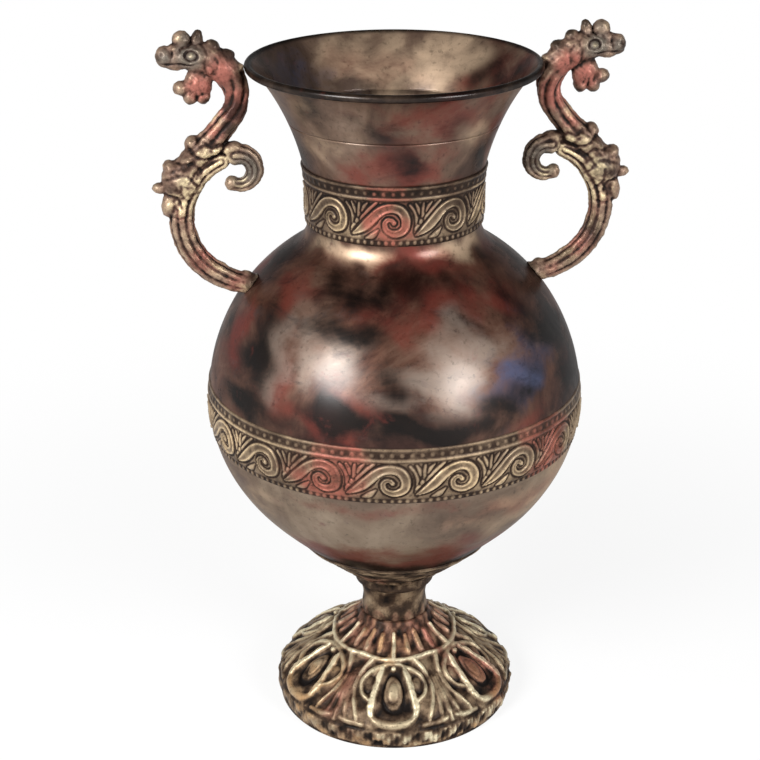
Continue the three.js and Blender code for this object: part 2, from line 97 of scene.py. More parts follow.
def ease(x, low, high):
    """0 up to low, 1 from high on."""
    t = np.clip((x - low) / (high - low), 0, 1)
    return t * t * (3 - 2 * t)


def fade(x, low, high):
    """1 up to low, 0 from high on."""
    return ease(-x, -high, -low)


def waves(angle, height, terms):
    """A sum of waves, each of a strength, number round the vase, length upwards and phase."""
    return sum(strength * np.sin(n * angle + height / length + phase) for strength, n, length, phase in terms)


def bezier(a, b, c, d, count):
    a, b, c, d = (np.array(p, float) for p in (a, b, c, d))
    t = np.linspace(0, 1, count)[:, None]
    return (1 - t)**3 * a + 3 * (1 - t)**2 * t * b + 3 * (1 - t) * t**2 * c + t**3 * d


def arc(centre, radius, start, end, count):
    angle = np.radians(np.linspace(start, end, count))
    return np.stack([centre[0] + radius * np.cos(angle), centre[1] + radius * np.sin(angle)], -1)


def spline(points, count):
    """A smooth line through the points, in any number of columns."""
    p = np.array(points, float)
    p = np.vstack([2 * p[0] - p[1], p, 2 * p[-1] - p[-2]])
    t = np.linspace(0, len(points) - 1, count)
    i = np.minimum(t.astype(int), len(points) - 2)
    f = (t - i)[:, None]
    a, b, c, d = p[i], p[i + 1], p[i + 2], p[i + 3]
    return 0.5 * (2 * b + (c - a) * f + (2 * a - 5 * b + 4 * c - d) * f**2 + (3 * b - a - 3 * c + d) * f**3)


def nearest(line, x, y):
    """Distance to a line of points, and the index of its nearest point."""
    gaps = (x[..., None] - line[:, 0])**2 + (y[..., None] - line[:, 1])**2
    index = gaps.argmin(-1)
    return np.sqrt(np.take_along_axis(gaps, index[..., None], -1)[..., 0]), index


def distances(line):
    """How far each point lies along a line of points."""
    return np.concatenate([[0], np.cumsum(np.linalg.norm(np.diff(line, axis=0), axis=1))])


def directions(line):
    """Unit vectors along a line of points."""
    steps = np.gradient(line, axis=0)
    return steps / np.linalg.norm(steps, axis=1)[:, None]


def offset(line, distance):
    """The line moved to its left, which is inwards on a wall that is drawn upwards."""
    way = directions(line)
    return line + distance * np.stack([-way[:, 1], way[:, 0]], -1)


def raised(line, lift):
    """A wall that is drawn upwards, moved outwards at each of its columns: radius and height."""
    way = directions(line)
    return np.stack([line[:, :1] + way[:, 1:] * lift, line[:, 1:] - way[:, :1] * lift], -1)


def ringed(outline, columns):
    """An outline that is the same at every column."""
    return np.repeat(np.array(outline)[:, None], columns, 1)


def full_turn(columns):
    """Angles of the columns of a plain piece, from the camera's side on."""
    return VIEW_TURN + np.arange(columns) * 2 * np.pi / columns


def repeat_turn(columns, repeats):
    """Angles of the columns of an embossed piece, whose first repeat lies in front."""
    total = columns * repeats
    return VIEW_TURN + PRESS_TURN + (np.arange(total) - columns / 2) * 2 * np.pi / total


def spun(radius, height, angles):
    """Points of rings: radius and height are rows, or rows by columns."""
    rows = len(radius)
    radius = np.broadcast_to(radius.reshape(rows, -1), (rows, len(angles)))
    height = np.broadcast_to(height.reshape(rows, -1), (rows, len(angles)))
    return np.stack([radius * np.sin(angles), -radius * np.cos(angles), height], -1).reshape(-1, 3)


def ring_faces(points, columns):
    """Quads of rings of points that are closed both ways, numbered row by row."""
    rows = len(points) // columns
    row, column = np.meshgrid(np.arange(rows), np.arange(columns), indexing="ij")
    up, along = (row + 1) % rows, (column + 1) % columns
    quads = [row * columns + column, row * columns + along, up * columns + along, up * columns + column]
    return np.stack(quads, -1).reshape(-1, 4)


def piece(name, points, faces, material, nodes, paints):
    """One visible piece from points in millimetres, riding on the body and standing for CAD nodes."""
    mesh = bpy.data.meshes.new(name)
    mesh.from_pydata((points * MM).tolist(), [], faces.tolist())
    mesh.shade_smooth()
    for key, values in paints.items():
        layer = mesh.attributes.new(key, "FLOAT", "POINT")
        layer.data.foreach_set("value", np.asarray(values, np.float32).ravel())
    mesh.materials.append(material)
    mesh.validate()
    made = bpy.data.objects.new(name, mesh)
    bpy.context.scene.collection.objects.link(made)
    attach(made, "root")
    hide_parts(*nodes)


# Paint: patches of patina, painted sheen and painted reflection, by degrees from the camera, height, spread
# along and up, and strength

BODY_PAINTS = {
    "red": [
        (-46, 297, 14, 7, 0.9), (-70, 270, 12, 16, 1.0), (42, 298, 24, 8, 0.8), (8, 296, 24, 9, 0.75),
        (-38, 257, 7, 12, 0.9), (-34, 244, 8, 5, 0.8), (-25, 238, 9, 6, 1.1), (-18, 230, 10, 6, 1.1),
        (-11, 249, 12, 6, 0.6), (69, 255, 8, 8, 0.8), (48, 232, 16, 5, 0.7), (30, 313, 40, 5, 0.7),
        (-20, 320, 22, 4, 0.9), (18, 320, 22, 5, 1.0), (45, 178, 26, 9, 0.75), (-5, 187, 44, 4, 0.5),
        (0, 134, 90, 12, 1.05), (4, 146, 50, 9, 0.8), (75, 170, 26, 12, 0.5), (150, 260, 40, 25, 0.8),
        (-140, 230, 40, 25, 0.8), (180, 300, 40, 12, 0.8), (110, 190, 30, 20, 0.6),
        (-110, 290, 30, 12, 0.8), (-170, 160, 40, 20, 0.6),
    ],
    "pale": [
        (-38, 321, 20, 4, 1.0), (52, 321, 16, 5, 1.0), (-120, 320, 30, 5, 0.8), (140, 320, 30, 5, 0.8),
        (180, 180, 80, 20, 0.4), (-62, 168, 24, 26, 0.5), (56, 180, 36, 22, 0.7),
    ],
    "dark": [
        (-8, 307, 22, 7, 0.85), (-30, 302, 12, 8, 0.9), (26, 305, 16, 5, 0.7), (-52, 272, 11, 18, 1.1),
        (-49, 238, 20, 8, 1.1), (-21, 241, 17, 8, 1.2), (8, 238, 40, 8, 1.25), (62, 276, 26, 24, 1.0),
        (74, 252, 20, 26, 1.1), (1, 270, 7, 18, 0.75), (-13, 286, 14, 6, 0.8), (38, 243, 18, 7, 0.9),
        (0, 123, 80, 7, 0.9), (90, 300, 20, 20, 0.7), (-90, 310, 30, 14, 0.7), (-86, 250, 14, 26, 0.8),
        (170, 235, 60, 8, 0.9), (130, 290, 30, 16, 0.8), (-150, 300, 30, 10, 0.9),
        (-125, 262, 24, 14, 0.8),
    ],
    # The two blue patches in front, beside the right highlight, are a painted blue reflection; the one behind
    # is blue patina
    "blue_and_reflection": [(44, 253, 13, 10, 0.95), (52, 270, 16, 13, 0.6), (-160, 265, 14, 10, 0.5)],
    # Grey patches round and below the two lamp highlights are painted sheen; the two behind are bare metal
    "bare_and_sheen": [
        (-18, 269, 17, 12, 1.0), (-29, 267, 9, 12, 0.8), (19, 266, 20, 13, 1.0), (21, 284, 12, 8, 0.7),
        (-43, 272, 12, 16, 0.85), (1, 253, 16, 6, 0.6), (160, 270, 26, 14, 0.7), (-160, 280, 20, 12, 0.7),
    ],
}
MOUTH_PAINTS = {
    "red": [
        (2, 373, 22, 13, 0.9), (32, 402, 34, 14, 0.85), (2, 407, 24, 8, 0.7), (-80, 390, 14, 12, 0.5),
        (112, 402, 36, 22, 1.0), (-168, 403, 20, 8, 0.8), (-100, 380, 20, 10, 0.6),
    ],
    "pale": [
        (-42, 384, 16, 9, 0.4), (48, 391, 10, 8, 0.7), (-58, 405, 18, 8, 0.4), (165, 402, 32, 22, 0.9),
        (-168, 405, 26, 14, 0.7), (90, 380, 14, 10, 0.5),
    ],
    "dark": [
        (3, 377, 9, 10, 0.7), (60, 370, 14, 8, 0.7), (-75, 370, 14, 10, 0.6), (122, 410, 26, 10, 0.8),
        (104, 400, 22, 20, 0.8), (-128, 404, 24, 16, 0.2), (-95, 405, 14, 12, 0.35), (30, 396, 10, 9, 0.5),
        (-16, 398, 26, 9, 0.5), (-48, 402, 20, 8, 0.45),
    ],
    "blue_and_reflection": [(-128, 402, 24, 16, 0.45)],
}
NECK_PAINTS = {key: MOUTH_PAINTS[key] + BODY_PAINTS[key] for key in MOUTH_PAINTS}
NECK_BAND_PAINTS = {
    "red": [(0, 341, 16, 22, 1.0), (200, 341, 18, 22, 0.9), (110, 341, 9, 22, 0.6)],
    "pale": [
        (-36, 340, 13, 16, 0.8), (64, 341, 8, 22, 1.0), (150, 341, 16, 22, 0.9), (-110, 341, 14, 20, 0.8),
    ],
}
BELLY_BAND_PAINTS = {
    "red": [
        (-17, 212, 15, 30, 1.0), (52, 212, 22, 30, 0.8), (120, 212, 24, 30, 0.9), (-120, 212, 22, 30, 0.9),
        (200, 212, 14, 30, 0.8),
    ],
    "pale": [
        (18, 208, 30, 20, 0.75), (-33, 225, 7, 7, 1.0), (68, 208, 8, 20, 0.5), (-52, 210, 34, 22, 1.0),
        (90, 210, 16, 20, 0.7), (160, 210, 34, 24, 0.8), (-90, 210, 20, 20, 0.6), (-160, 210, 30, 24, 0.7),
    ],
}
CALYX_PAINTS = {
    "pale": [(30, 116, 18, 5, 0.8), (-40, 117, 12, 4, 0.8), (0, 118, 40, 2, 0.4), (170, 114, 60, 6, 0.6)],
    "red": [(-14, 100, 14, 8, 0.6), (100, 105, 30, 12, 0.6)],
}
FOOT_BRIGHT = [
    (0, 26, 30, 30, 1.0), (-120, 26, 30, 30, 0.8), (120, 26, 30, 30, 0.8), (45, 10, 22, 7, 0.9),
    (180, 20, 30, 20, 0.7),
]
# Painted glints on the reeded edge, strongest at the right front
FOOT_PAINTED_GLINTS = [
    (42, 9, 26, 7, 0.95), (5, 8, 14, 5, 0.8), (-60, 6, 20, 5, 0.6), (-150, 9, 30, 6, 0.7),
    (130, 9, 20, 6, 0.7),
]
FOOT_RED = [
    (36, 52, 14, 8, 1.0), (-34, 50, 14, 8, 0.8), (-30, 20, 14, 16, 0.7), (60, 32, 16, 14, 0.9),
    (170, 26, 30, 16, 0.7),
]
FOOT_TAN = [
    (-60, 24, 22, 16, 0.85), (56, 22, 18, 10, 0.6), (-20, 2, 70, 4, 1.0), (40, 2, 30, 3, 0.8),
    (180, 8, 90, 8, 0.8), (-4, 50, 12, 6, 0.9),
]


def patches(points, blobs):
    """How far each point lies in the patches, up to their strength; their outlines wander."""
    angle = np.arctan2(points[:, 0], -points[:, 1]) - VIEW_TURN
    radius = np.hypot(points[:, 0], points[:, 1])
    z = points[:, 2]
    sway = waves(angle, z, ((0.5, 3, 13, 0), (0.3, -7, 6.1, 1), (0.25, 11, 3.3, 2)))
    lift = waves(angle, z, ((0.5, 6, 20, 0), (0.3, 13, -11, 1), (0.25, 23, 5, 0)))
    total = np.zeros(len(points))
    for degrees, height, along, up, strength in blobs:
        turn = (angle - math.radians(degrees) + np.pi) % (2 * np.pi) - np.pi
        reach = (turn * radius / along + 0.9 * sway)**2 + ((z - height) / up + 0.9 * lift)**2
        total = np.maximum(total, strength * np.exp(-0.6 * reach))
    return total


def painted(points, paints):
    return {key: patches(points, blobs) for key, blobs in paints.items()}


# Materials

def srgb(code):
    """Linear colour of a hex code."""
    values = [int(code[i:i + 2], 16) / 255 for i in (1, 3, 5)]
    return tuple(v / 12.92 if v <= 0.04045 else ((v + 0.055) / 1.055) ** 2.4 for v in values) + (1.0,)


class Graph:
    """A tree of shader nodes that is put together a step at a time."""

    def __init__(self, tree):
        self.tree = tree

    def put(self, target, value):
        """Links an output to a socket, or sets the socket to a plain value."""
        if isinstance(value, bpy.types.NodeSocket):
            self.tree.links.new(value, target)
        else:
            target.default_value = value

    def node(self, kind, inputs=None, **settings):
        """A new node, with its inputs by name or number."""
        made = self.tree.nodes.new("ShaderNode" + kind)
        for key, value in settings.items():
            setattr(made, key, value)
        for key, value in (inputs or {}).items():
            self.put(made.inputs[key], value)
        return made

    def math(self, kind, a, b):
        return self.node("Math", {0: a, 1: b}, operation=kind).outputs["Value"]

    def span(self, value, low, high, start=0.0, end=1.0):
        """The value eased from start at low to end at high."""
        inputs = {"Value": value, "From Min": low, "From Max": high, "To Min": start, "To Max": end}
        return self.node("MapRange", inputs, interpolation_type="SMOOTHSTEP").outputs["Result"]


class Paint(Graph):
    """A material and its nodes."""

    def __init__(self, name):
        self.material = bpy.data.materials.new(name)
        self.material.use_nodes = True
        super().__init__(self.material.node_tree)
        self.shader = self.tree.nodes["Principled BSDF"]
        self.place = self.node("TexCoord").outputs["Object"]

    def noise(self, scale, detail, roughness, distortion=0.0, stretch=None):
        place = self.place
        if stretch:
            place = self.node("Mapping", {"Vector": place, "Scale": stretch}).outputs["Vector"]
        inputs = {"Vector": place, "Scale": scale, "Detail": detail}
        inputs.update({"Roughness": roughness, "Distortion": distortion})
        return self.node("TexNoise", inputs).outputs["Fac"]

    def swing(self, value, reach):
        """A noise about 0 instead of about a half, times its reach."""
        return self.math("MULTIPLY", self.math("SUBTRACT", value, 0.5), reach)

    def attribute(self, name):
        return self.node("Attribute", attribute_name=name).outputs["Fac"]

    def ramp(self, value, stops):
        made = self.node("ValToRGB", {"Fac": value})
        elements = made.color_ramp.elements
        while len(elements) < len(stops):
            elements.new(0.5)
        for element, (place, code) in zip(elements, stops):
            element.position = place
            element.color = srgb(code)
        return made.outputs["Color"]

    def mix(self, amount, color, other):
        """A colour turned by an amount to another one, which may be a hex code."""
        inputs = {"Factor": amount, "A": color, "B": srgb(other) if isinstance(other, str) else other}
        return self.node("Mix", inputs, data_type="RGBA").outputs["Result"]

    def bumps(self, height, strength, distance):
        inputs = {"Height": height, "Strength": strength, "Distance": distance}
        return self.node("Bump", inputs).outputs["Normal"]

    def finish(self, inputs):
        """The material, with these inputs of its shader."""
        for key, value in inputs.items():
            self.put(self.shader.inputs[key], value)
        return self.material


def patina(name):
    """Glossy patina on plain sheet, dark or turned to a greyer brown, in patches with ragged edges; on the
    bowl the greyer brown is a painted reflection of the white floor, the grey patches are painted sheen and
    two blue ones a painted reflection.
    """
    paint = Paint(name)
    dark, red = "#070403", "#632a22"
    cloud = paint.noise(13, 6, 0.62, 1.1)
    mottle = paint.noise(52, 6, 0.68, 0.5)
    wipe = paint.noise(22, 6, 0.66, 0.9, stretch=(1, 1, 2.2))
    speck = paint.noise(330, 3, 0.6)
    swing = paint.swing(paint.math("MULTIPLY", paint.math("ADD", wipe, mottle), 0.5), 2.0)
    fresh = paint.ramp(cloud, [(0.3, "#140a07"), (0.44, "#34201a"), (0.55, "#51382d"), (0.68, "#695246")])
    # The greyer ramp: on the bowl a painted reflection of the white floor, on the neck and mouth a greyer
    # patina
    greyer_and_floor_reflection = paint.ramp(cloud, [(0.3, "#4a3c33"), (0.44, "#5f5044"), (0.55, "#726354"), (0.68, "#837464")])
    greying_share = paint.attribute("greyer_and_floor_reflection")
    color = paint.mix(greying_share, fresh, greyer_and_floor_reflection)
    tints = (
        ("red", red, 0.8), ("pale", "#ab947b", 0.75), ("bare_and_sheen", "#776b61", 0.7), ("blue_and_reflection", "#404c6a", 0.75),
        ("dark", dark, 0.95),
    )
    for key, code, share in tints:
        reach = paint.math("ADD", paint.attribute(key), swing)
        color = paint.mix(paint.span(reach, 0.08, 0.95, 0.0, share), color, code)
    fresh_share = paint.span(greying_share, 0.0, 1.0, 1.0, 0.25)
    color = paint.mix(paint.math("MULTIPLY", paint.span(wipe, 0.54, 0.74, 0.0, 0.5), fresh_share), color, dark)
    color = paint.mix(paint.span(mottle, 0.6, 0.74, 0.0, 0.35), color, red)
    color = paint.mix(paint.span(speck, 0.54, 0.78, 0.0, 0.4), color, dark)
    height = paint.math("ADD", mottle, paint.math("MULTIPLY", speck, 0.3))
    return paint.finish({
        "Base Color": color, "Roughness": paint.span(mottle, 0.3, 0.7, 0.36, 0.52), "Metallic": 0.55,
        "Coat Weight": 0.09, "Coat Roughness": 0.25, "Coat IOR": 2.4,
        "Specular IOR Level": 0.08, "Specular Tint": (0.3, 0.25, 0.22, 1),
        "Normal": paint.bumps(height, strength=0.12, distance=0.0012),
    })


def antiqued(name, stops, crest, tints, grit):
    """Relief that is black in its recesses and rubbed pale on its crests, with tinted patches."""
    paint = Paint(name)
    patch = paint.noise(34, 5, 0.64, 0.8)
    mottle = paint.noise(105, 5, 0.66, 0.3)
    speck = paint.noise(520, 3, 0.6)
    height = paint.math("ADD", paint.attribute("relief"), paint.swing(mottle, 2 * grit))
    color = paint.ramp(height, stops)
    rubbed = paint.math("MULTIPLY", paint.span(height, 0.62, 1.0), paint.span(patch, 0.44, 0.64, 0.05, 0.6))
    color = paint.mix(rubbed, color, crest)
    wander = paint.swing(patch, 1.4)
    for key, code, low, high in tints:
        reach = paint.span(paint.math("ADD", paint.attribute(key), wander), 0.2, 0.85)
        amount = paint.math("MULTIPLY", reach, paint.span(height, low, high, 0.0, 0.85))
        color = paint.mix(amount, color, code)
    color = paint.mix(paint.span(patch, 0.5, 0.68, 0.0, 0.6), color, stops[1][1])
    color = paint.mix(paint.span(speck, 0.52, 0.74, 0.0, 0.55), color, stops[0][1])
    grain = paint.math("ADD", mottle, paint.math("MULTIPLY", speck, 0.5))
    return paint.finish({
        "Base Color": color, "Roughness": paint.span(height, 0.2, 0.9, 0.66, 0.4), "Metallic": 0.4,
        "Coat Weight": 0.04, "Coat Roughness": 0.3, "Specular IOR Level": 0.15,
        "Normal": paint.bumps(grain, strength=0.3, distance=0.001),
    })


def brushed_steel():
    paint = Paint("plain_steel")
    grain = paint.noise(60, 3, 0.6, stretch=(1, 1, 24))
    return paint.finish({
        "Base Color": paint.ramp(grain, [(0.3, "#6f7072"), (0.7, "#9a9b9c")]), "Metallic": 1.0,
        "Roughness": paint.span(grain, 0.3, 0.7, 0.32, 0.5),
        "Normal": paint.bumps(grain, strength=0.1, distance=0.0004),
    })


BODY = patina("dark_patina")
MOUTH = patina("mouth_patina")

# Stops of colour run from recess to crest, and each tint takes hold between two levels of the relief
BAND = antiqued(
    "band_antique", [(0.14, "#0a0503"), (0.34, "#2c1f17"), (0.56, "#675645"), (0.85, "#8e7c66")],
    crest="#b9a383",
    tints=(("red", "#84463b", 0.2, 0.65), ("pale", "#c4ab86", 0.4, 0.95)),
    grit=0.28)
FOOT = antiqued(
    "foot_antique", [(0.1, "#0d0705"), (0.3, "#36281d"), (0.5, "#725f4b"), (0.85, "#9a8a70")],
    crest="#cbbc9a",
    tints=(("red", "#7c443a", 0.1, 0.7), ("tan", "#a58058", 0.3, 0.75), ("pale", "#ddd1b0", 0.45, 0.9)),
    grit=0.45)
CAST = antiqued(
    "cast_antique", [(0.1, "#120a07"), (0.3, "#38271f"), (0.5, "#644e42"), (0.85, "#846e5c")],
    crest="#a8947b",
    tints=(("red", "#8a5046", 0.1, 0.6), ("grey", "#55514a", 0.1, 0.6), ("pale", "#cbb993", 0.35, 0.8),
           ("dark", "#170e0b", -0.5, 0.1)),
    grit=0.4)

STEEL = brushed_steel()
for hidden in (
        "rim_wire", "tie_bolt", "tie_nut", "bolt_washer", "foot_washer", "right_handle_screw",
        "left_handle_screw", "right_screw_washer", "left_screw_washer"):
    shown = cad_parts[hidden]
    shown.data.materials.clear()
    shown.data.materials.append(STEEL)


# Spun body

BOWL_CURVE = bezier(
    (BOWL_FLOOR_RADIUS, BOWL_FLOOR),
    (BOWL_FLOOR_RADIUS + 0.5 * (GLOBE - BOWL_FLOOR_RADIUS), BOWL_FLOOR + 0.29 * BOWL_DEPTH),
    (GLOBE, BOWL_FLOOR + 0.57 * BOWL_DEPTH), (GLOBE, EQUATOR), 90)
LIP_CENTRE = np.array([RIM - ROLL - SHEET, LIP_HEIGHT])
LIP_START = LIP_CENTRE + ROLL * np.array([-math.sin(LIP_SLOPE), math.cos(LIP_SLOPE)])
FLARE_CURVE = bezier(
    (NECK, FLARE_START), (NECK, FLARE_START + 0.31 * FLARE_HEIGHT),
    LIP_START - 0.33 * FLARE_HEIGHT * np.array([math.cos(LIP_SLOPE), math.sin(LIP_SLOPE)]), LIP_START, 120)

# How far the sheet stands back under the belly strip and under the leaves
BAND_ROOM = 1.5
LEAF_ROOM = 1.7

# How the patina turns greyer: from which height on, fully from which height, and to what share; on the bowl
# this is a painted reflection of the white floor
BOWL_FLOOR_REFLECTION = (80, 86, 1.0)
GLOBE_GREYING = (80, 86, 0.0)
MOUTH_GREYING = (328, 390, 0.43)


def bowl_radius(height):
    return np.interp(height, BOWL_CURVE[:, 1], BOWL_CURVE[:, 0])


def belly_radius(height):
    """The bowl's wall below the equator and the globe's above it."""
    upper = np.sqrt(GLOBE**2 - (np.maximum(height, EQUATOR) - EQUATOR)**2)
    return np.where(height < EQUATOR, bowl_radius(height), upper)


def globe_height(radius):
    return EQUATOR + np.sqrt(GLOBE**2 - radius**2)


def neck_radius(height):
    return np.interp(height, FLARE_CURVE[:, 1], FLARE_CURVE[:, 0])


def wobble(angles, heights):
    """The small unevenness of hand-spun sheet, in millimetres."""
    turn, height = np.meshgrid(angles, heights)
    swell = waves(turn, height, ((1, 2, 31, 0), (0.8, 3, -23, 1.3), (0.6, 5, 17, 0.4)))
    return 0.11 * swell + waves(turn, height, ((0.05, 9, -9, 0),))


def under_band(line):
    """The sheet is drawn in a little where the belly strip covers it, to give the relief room."""
    low, high = BELLY_BAND_LOW, BELLY_BAND_LOW + STRIP
    inside = ease(line[:, 1], low + 1, low + 3) * fade(line[:, 1], high - 3, high - 1)
    return line - np.stack([BAND_ROOM * inside, 0 * inside], -1)


def shell(name, node, outer, inner, paints, greying, material=BODY, columns=144):
    """A spun sheet from its outer line up and its inner line down; its lip is dark."""
    outline = np.vstack([outer, inner[::-1]])
    angles = full_turn(columns)
    radius = outline[:, :1] + wobble(angles, outline[:, 1]) * ease(outline[:, :1], 24, 60)
    points = spun(radius, outline[:, 1], angles)
    values = painted(points, paints)
    lip = ease(outline[:, 0], LIP_CENTRE[0] - 4, LIP_CENTRE[0] - 1) * (outline[:, 1] > LIP_HEIGHT - 6)
    values["dark"] = np.maximum(values["dark"], 0.8 * np.repeat(lip, columns))
    # Greyer share by height; over the bowl it is a painted reflection of the floor
    start, end, share = greying
    values["greyer_and_floor_reflection"] = np.repeat(share * ease(outline[:, 1], start, end), columns)
    piece(name, points, ring_faces(points, columns), material, [node], values)


def bowl():
    """The bowl stands back a little under the leaves that lie on it."""
    outer = np.vstack([
        [(BOLT_HOLE, BOWL_FLOOR), (BOWL_FLOOR_RADIUS - 1.5, BOWL_FLOOR)],
        BOWL_CURVE[1:-2],
        [(GLOBE, EQUATOR - GAP)],
    ])
    outer[2:, 0] -= LEAF_ROOM * (1 - ease(outer[2:, 1], CALYX_TOP, CALYX_TOP + 34))
    inner = offset(outer, SHEET)
    shell("bowl_shell", "lower_bowl", under_band(outer), under_band(inner), BODY_PAINTS, BOWL_FLOOR_REFLECTION)


def globe():
    """The upper half of the globe, with a short collar turned up inside the neck."""
    wall = NECK - SHEET - GAP
    top = math.degrees(math.acos((wall + 3) / GLOBE))
    outer = np.vstack([
        arc((0, EQUATOR), GLOBE, 0, top, 64),
        bezier((wall + 2.4, SHOULDER + 0.4), (wall + 1, SHOULDER + 1.2),
               (wall, SHOULDER + 2.4), (wall, SHOULDER + 4), 6),
        [(wall, SHOULDER + 9)],
    ])
    inner = offset(outer, SHEET)
    shell("globe_shell", "upper_globe", under_band(outer), under_band(inner), BODY_PAINTS, GLOBE_GREYING)


def neck():
    """The neck's cove runs out on the globe, along the globe's own slope."""
    skirt = NECK + NECK_COVE + 1.5
    height = globe_height(skirt)
    slope = np.array([EQUATOR - height, skirt]) / GLOBE
    edge = np.array([skirt, height - 0.12])
    cove = bezier(edge, edge + 6.5 * slope, (NECK, SHOULDER + 2.5), (NECK, SHOULDER + 10), 24)
    outer = np.vstack([
        cove,
        FLARE_CURVE[FLARE_CURVE[:, 1] < MOUTH_JOINT - 1],
        [(neck_radius(MOUTH_JOINT), MOUTH_JOINT)],
    ])
    inner = offset(outer, SHEET)
    low = inner[:len(cove)]
    low[:, 1] = np.maximum(low[:, 1], globe_height(low[:, 0]) - 0.2)
    shell("neck_shell", "neck_tube", outer, inner, NECK_PAINTS, MOUTH_GREYING)


def lip_roll(radius, count):
    """The lip's roll round its wire, on from the end of the flare."""
    slope = math.degrees(LIP_SLOPE)
    return arc(LIP_CENTRE, radius, slope + 90, slope - 180, count)[1:]


def mouth():
    """A spigot that stands inside the neck, the flare above the joint, and the rolled lip."""
    heights = np.linspace(MOUTH_JOINT - 9, MOUTH_JOINT + 0.3, 5)
    seam = MOUTH_JOINT + 0.35
    wall = np.vstack([
        np.stack([neck_radius(heights) - SHEET - GAP - 0.3, heights], -1),
        [(neck_radius(seam) - 0.1, seam)],
        FLARE_CURVE[FLARE_CURVE[:, 1] > MOUTH_JOINT + 1],
    ])
    outer = np.vstack([wall, lip_roll(ROLL, 12)])
    inner = np.vstack([offset(wall, SHEET), lip_roll(ROLL + SHEET, 20)])
    shell("mouth_shell", "mouth_funnel", outer, inner, MOUTH_PAINTS, MOUTH_GREYING, MOUTH, 180)


bowl()
globe()
neck()
mouth()


# Stem and the leafed cup under the bowl

LEAF_LIFT = 1.3
LEAF_SINK = 1.0


def stem(columns=144):
    """A plain spool, with the tips of the foot's leaves round its lower end."""
    low = FOOT_HEIGHT + GAP
    outline = np.vstack([
        [(BOLT_HOLE, low), (STEM_WAIST, low)],
        bezier((STEM_WAIST + 1.2, low + 0.5), (STEM_WAIST + 1.0, low + 4),
               (STEM_WAIST, low + 9), (STEM_WAIST, low + 11), 14),
        bezier((STEM_WAIST, low + 11.6), (STEM_WAIST, low + 14),
               (STEM_WAIST + 0.8, STEM_TOP - 5), (STEM_TOP_RADIUS, STEM_TOP - 0.6), 12),
        [(STEM_TOP_RADIUS - 0.6, STEM_TOP), (BOLT_HOLE, STEM_TOP)],
    ])
    turn, height = np.meshgrid(full_turn(columns), outline[:, 1])
    leaf = np.cos(12 * (turn - VIEW_TURN) + 0.8 * np.sin(5 * turn))
    tip = ease(low + 5 + 2.5 * leaf - height, -1.5, 1.5) * (outline[:, :1] > STEM_WAIST - 0.1)
    cloud = waves(turn, height, ((0.12, 3, 4, 0), (0.1, 7, -3, 1)))
    relief = (0.36 + cloud) * (1 - tip) + (0.34 + 0.14 * leaf) * tip
    points = spun(outline[:, :1] + tip * (0.3 * leaf - 0.2), height, full_turn(columns))
    paints = {"relief": relief, "red": 0.4 * tip}
    piece("stem_turning", points, ring_faces(points, columns), FOOT, ["stem_spool"], paints)


def calyx(columns=240, rows=60, tiers=3, leaves=24, rim=4.0):
    """Rings of leaf tips that lie on the bowl, under a round rim."""
    heights = np.linspace(BOWL_FLOOR + 0.4, CALYX_TOP, rows)
    line = np.stack([bowl_radius(heights), heights], -1)
    run = distances(line)
    leafed = run[-1] - rim
    turn, along = np.meshgrid(full_turn(columns), run)
    drift = waves(turn, along, ((1, 5, 4, 0), (1, 11, -3, 1), (1, 17, 5, 2)))
    tier = along / leafed * tiers + 0.09 * drift
    across = ((turn * leaves / (2 * np.pi) + 0.5 * np.floor(tier)) % 1) - 0.5
    edge = 0.5 + 0.42 * np.cos(np.pi * across) - tier % 1
    leaf = 0.75 - 0.5 * np.clip(edge, 0, 1) + 0.14 * bump(across, 0.08)
    relief = np.where(edge > 0, leaf, 0.18 - 0.2 * edge)
    bead = ease(along, leafed - 0.8, leafed + 0.6)
    round_rim = 0.8 - 0.5 * ((along - run[-1] + 0.5 * rim) / (0.5 * rim))**2
    relief = np.clip(relief * (1 - bead) + bead * round_rim, 0, 1)
    low, wide = STEM_TOP + GAP, STEM_TOP_RADIUS
    cup = [(BOLT_HOLE, low), (wide + 1.6, low), (wide + 2.3, low + 0.8), (wide + 2.4, low + 2.4)]
    front = raised(line, LEAF_LIFT * relief - LEAF_SINK + 0.12 * drift * bead)
    rear = np.vstack([offset(line, 1.9)[::-7], [(BOLT_HOLE, COLLAR_TOP)]])
    outline = np.concatenate([ringed(cup, columns), front, ringed(rear, columns)])
    shade = np.full(outline.shape[:2], 0.25)
    shade[len(cup):len(cup) + rows] = 0.12 + 0.46 * relief + 0.07 * drift
    points = spun(outline[..., 0], outline[..., 1], full_turn(columns))
    paints = {"relief": shade, **painted(points, CALYX_PAINTS)}
    piece("bowl_calyx", points, ring_faces(points, columns), FOOT, ["bowl_collar"], paints)


stem()
calyx()


# Embossed strip: one repeat of a running scroll, drawn about the middle of its spiral

SCROLL_DRAWN = 39.6
SCROLL_HEIGHT = 14.0
FAR = 99.0

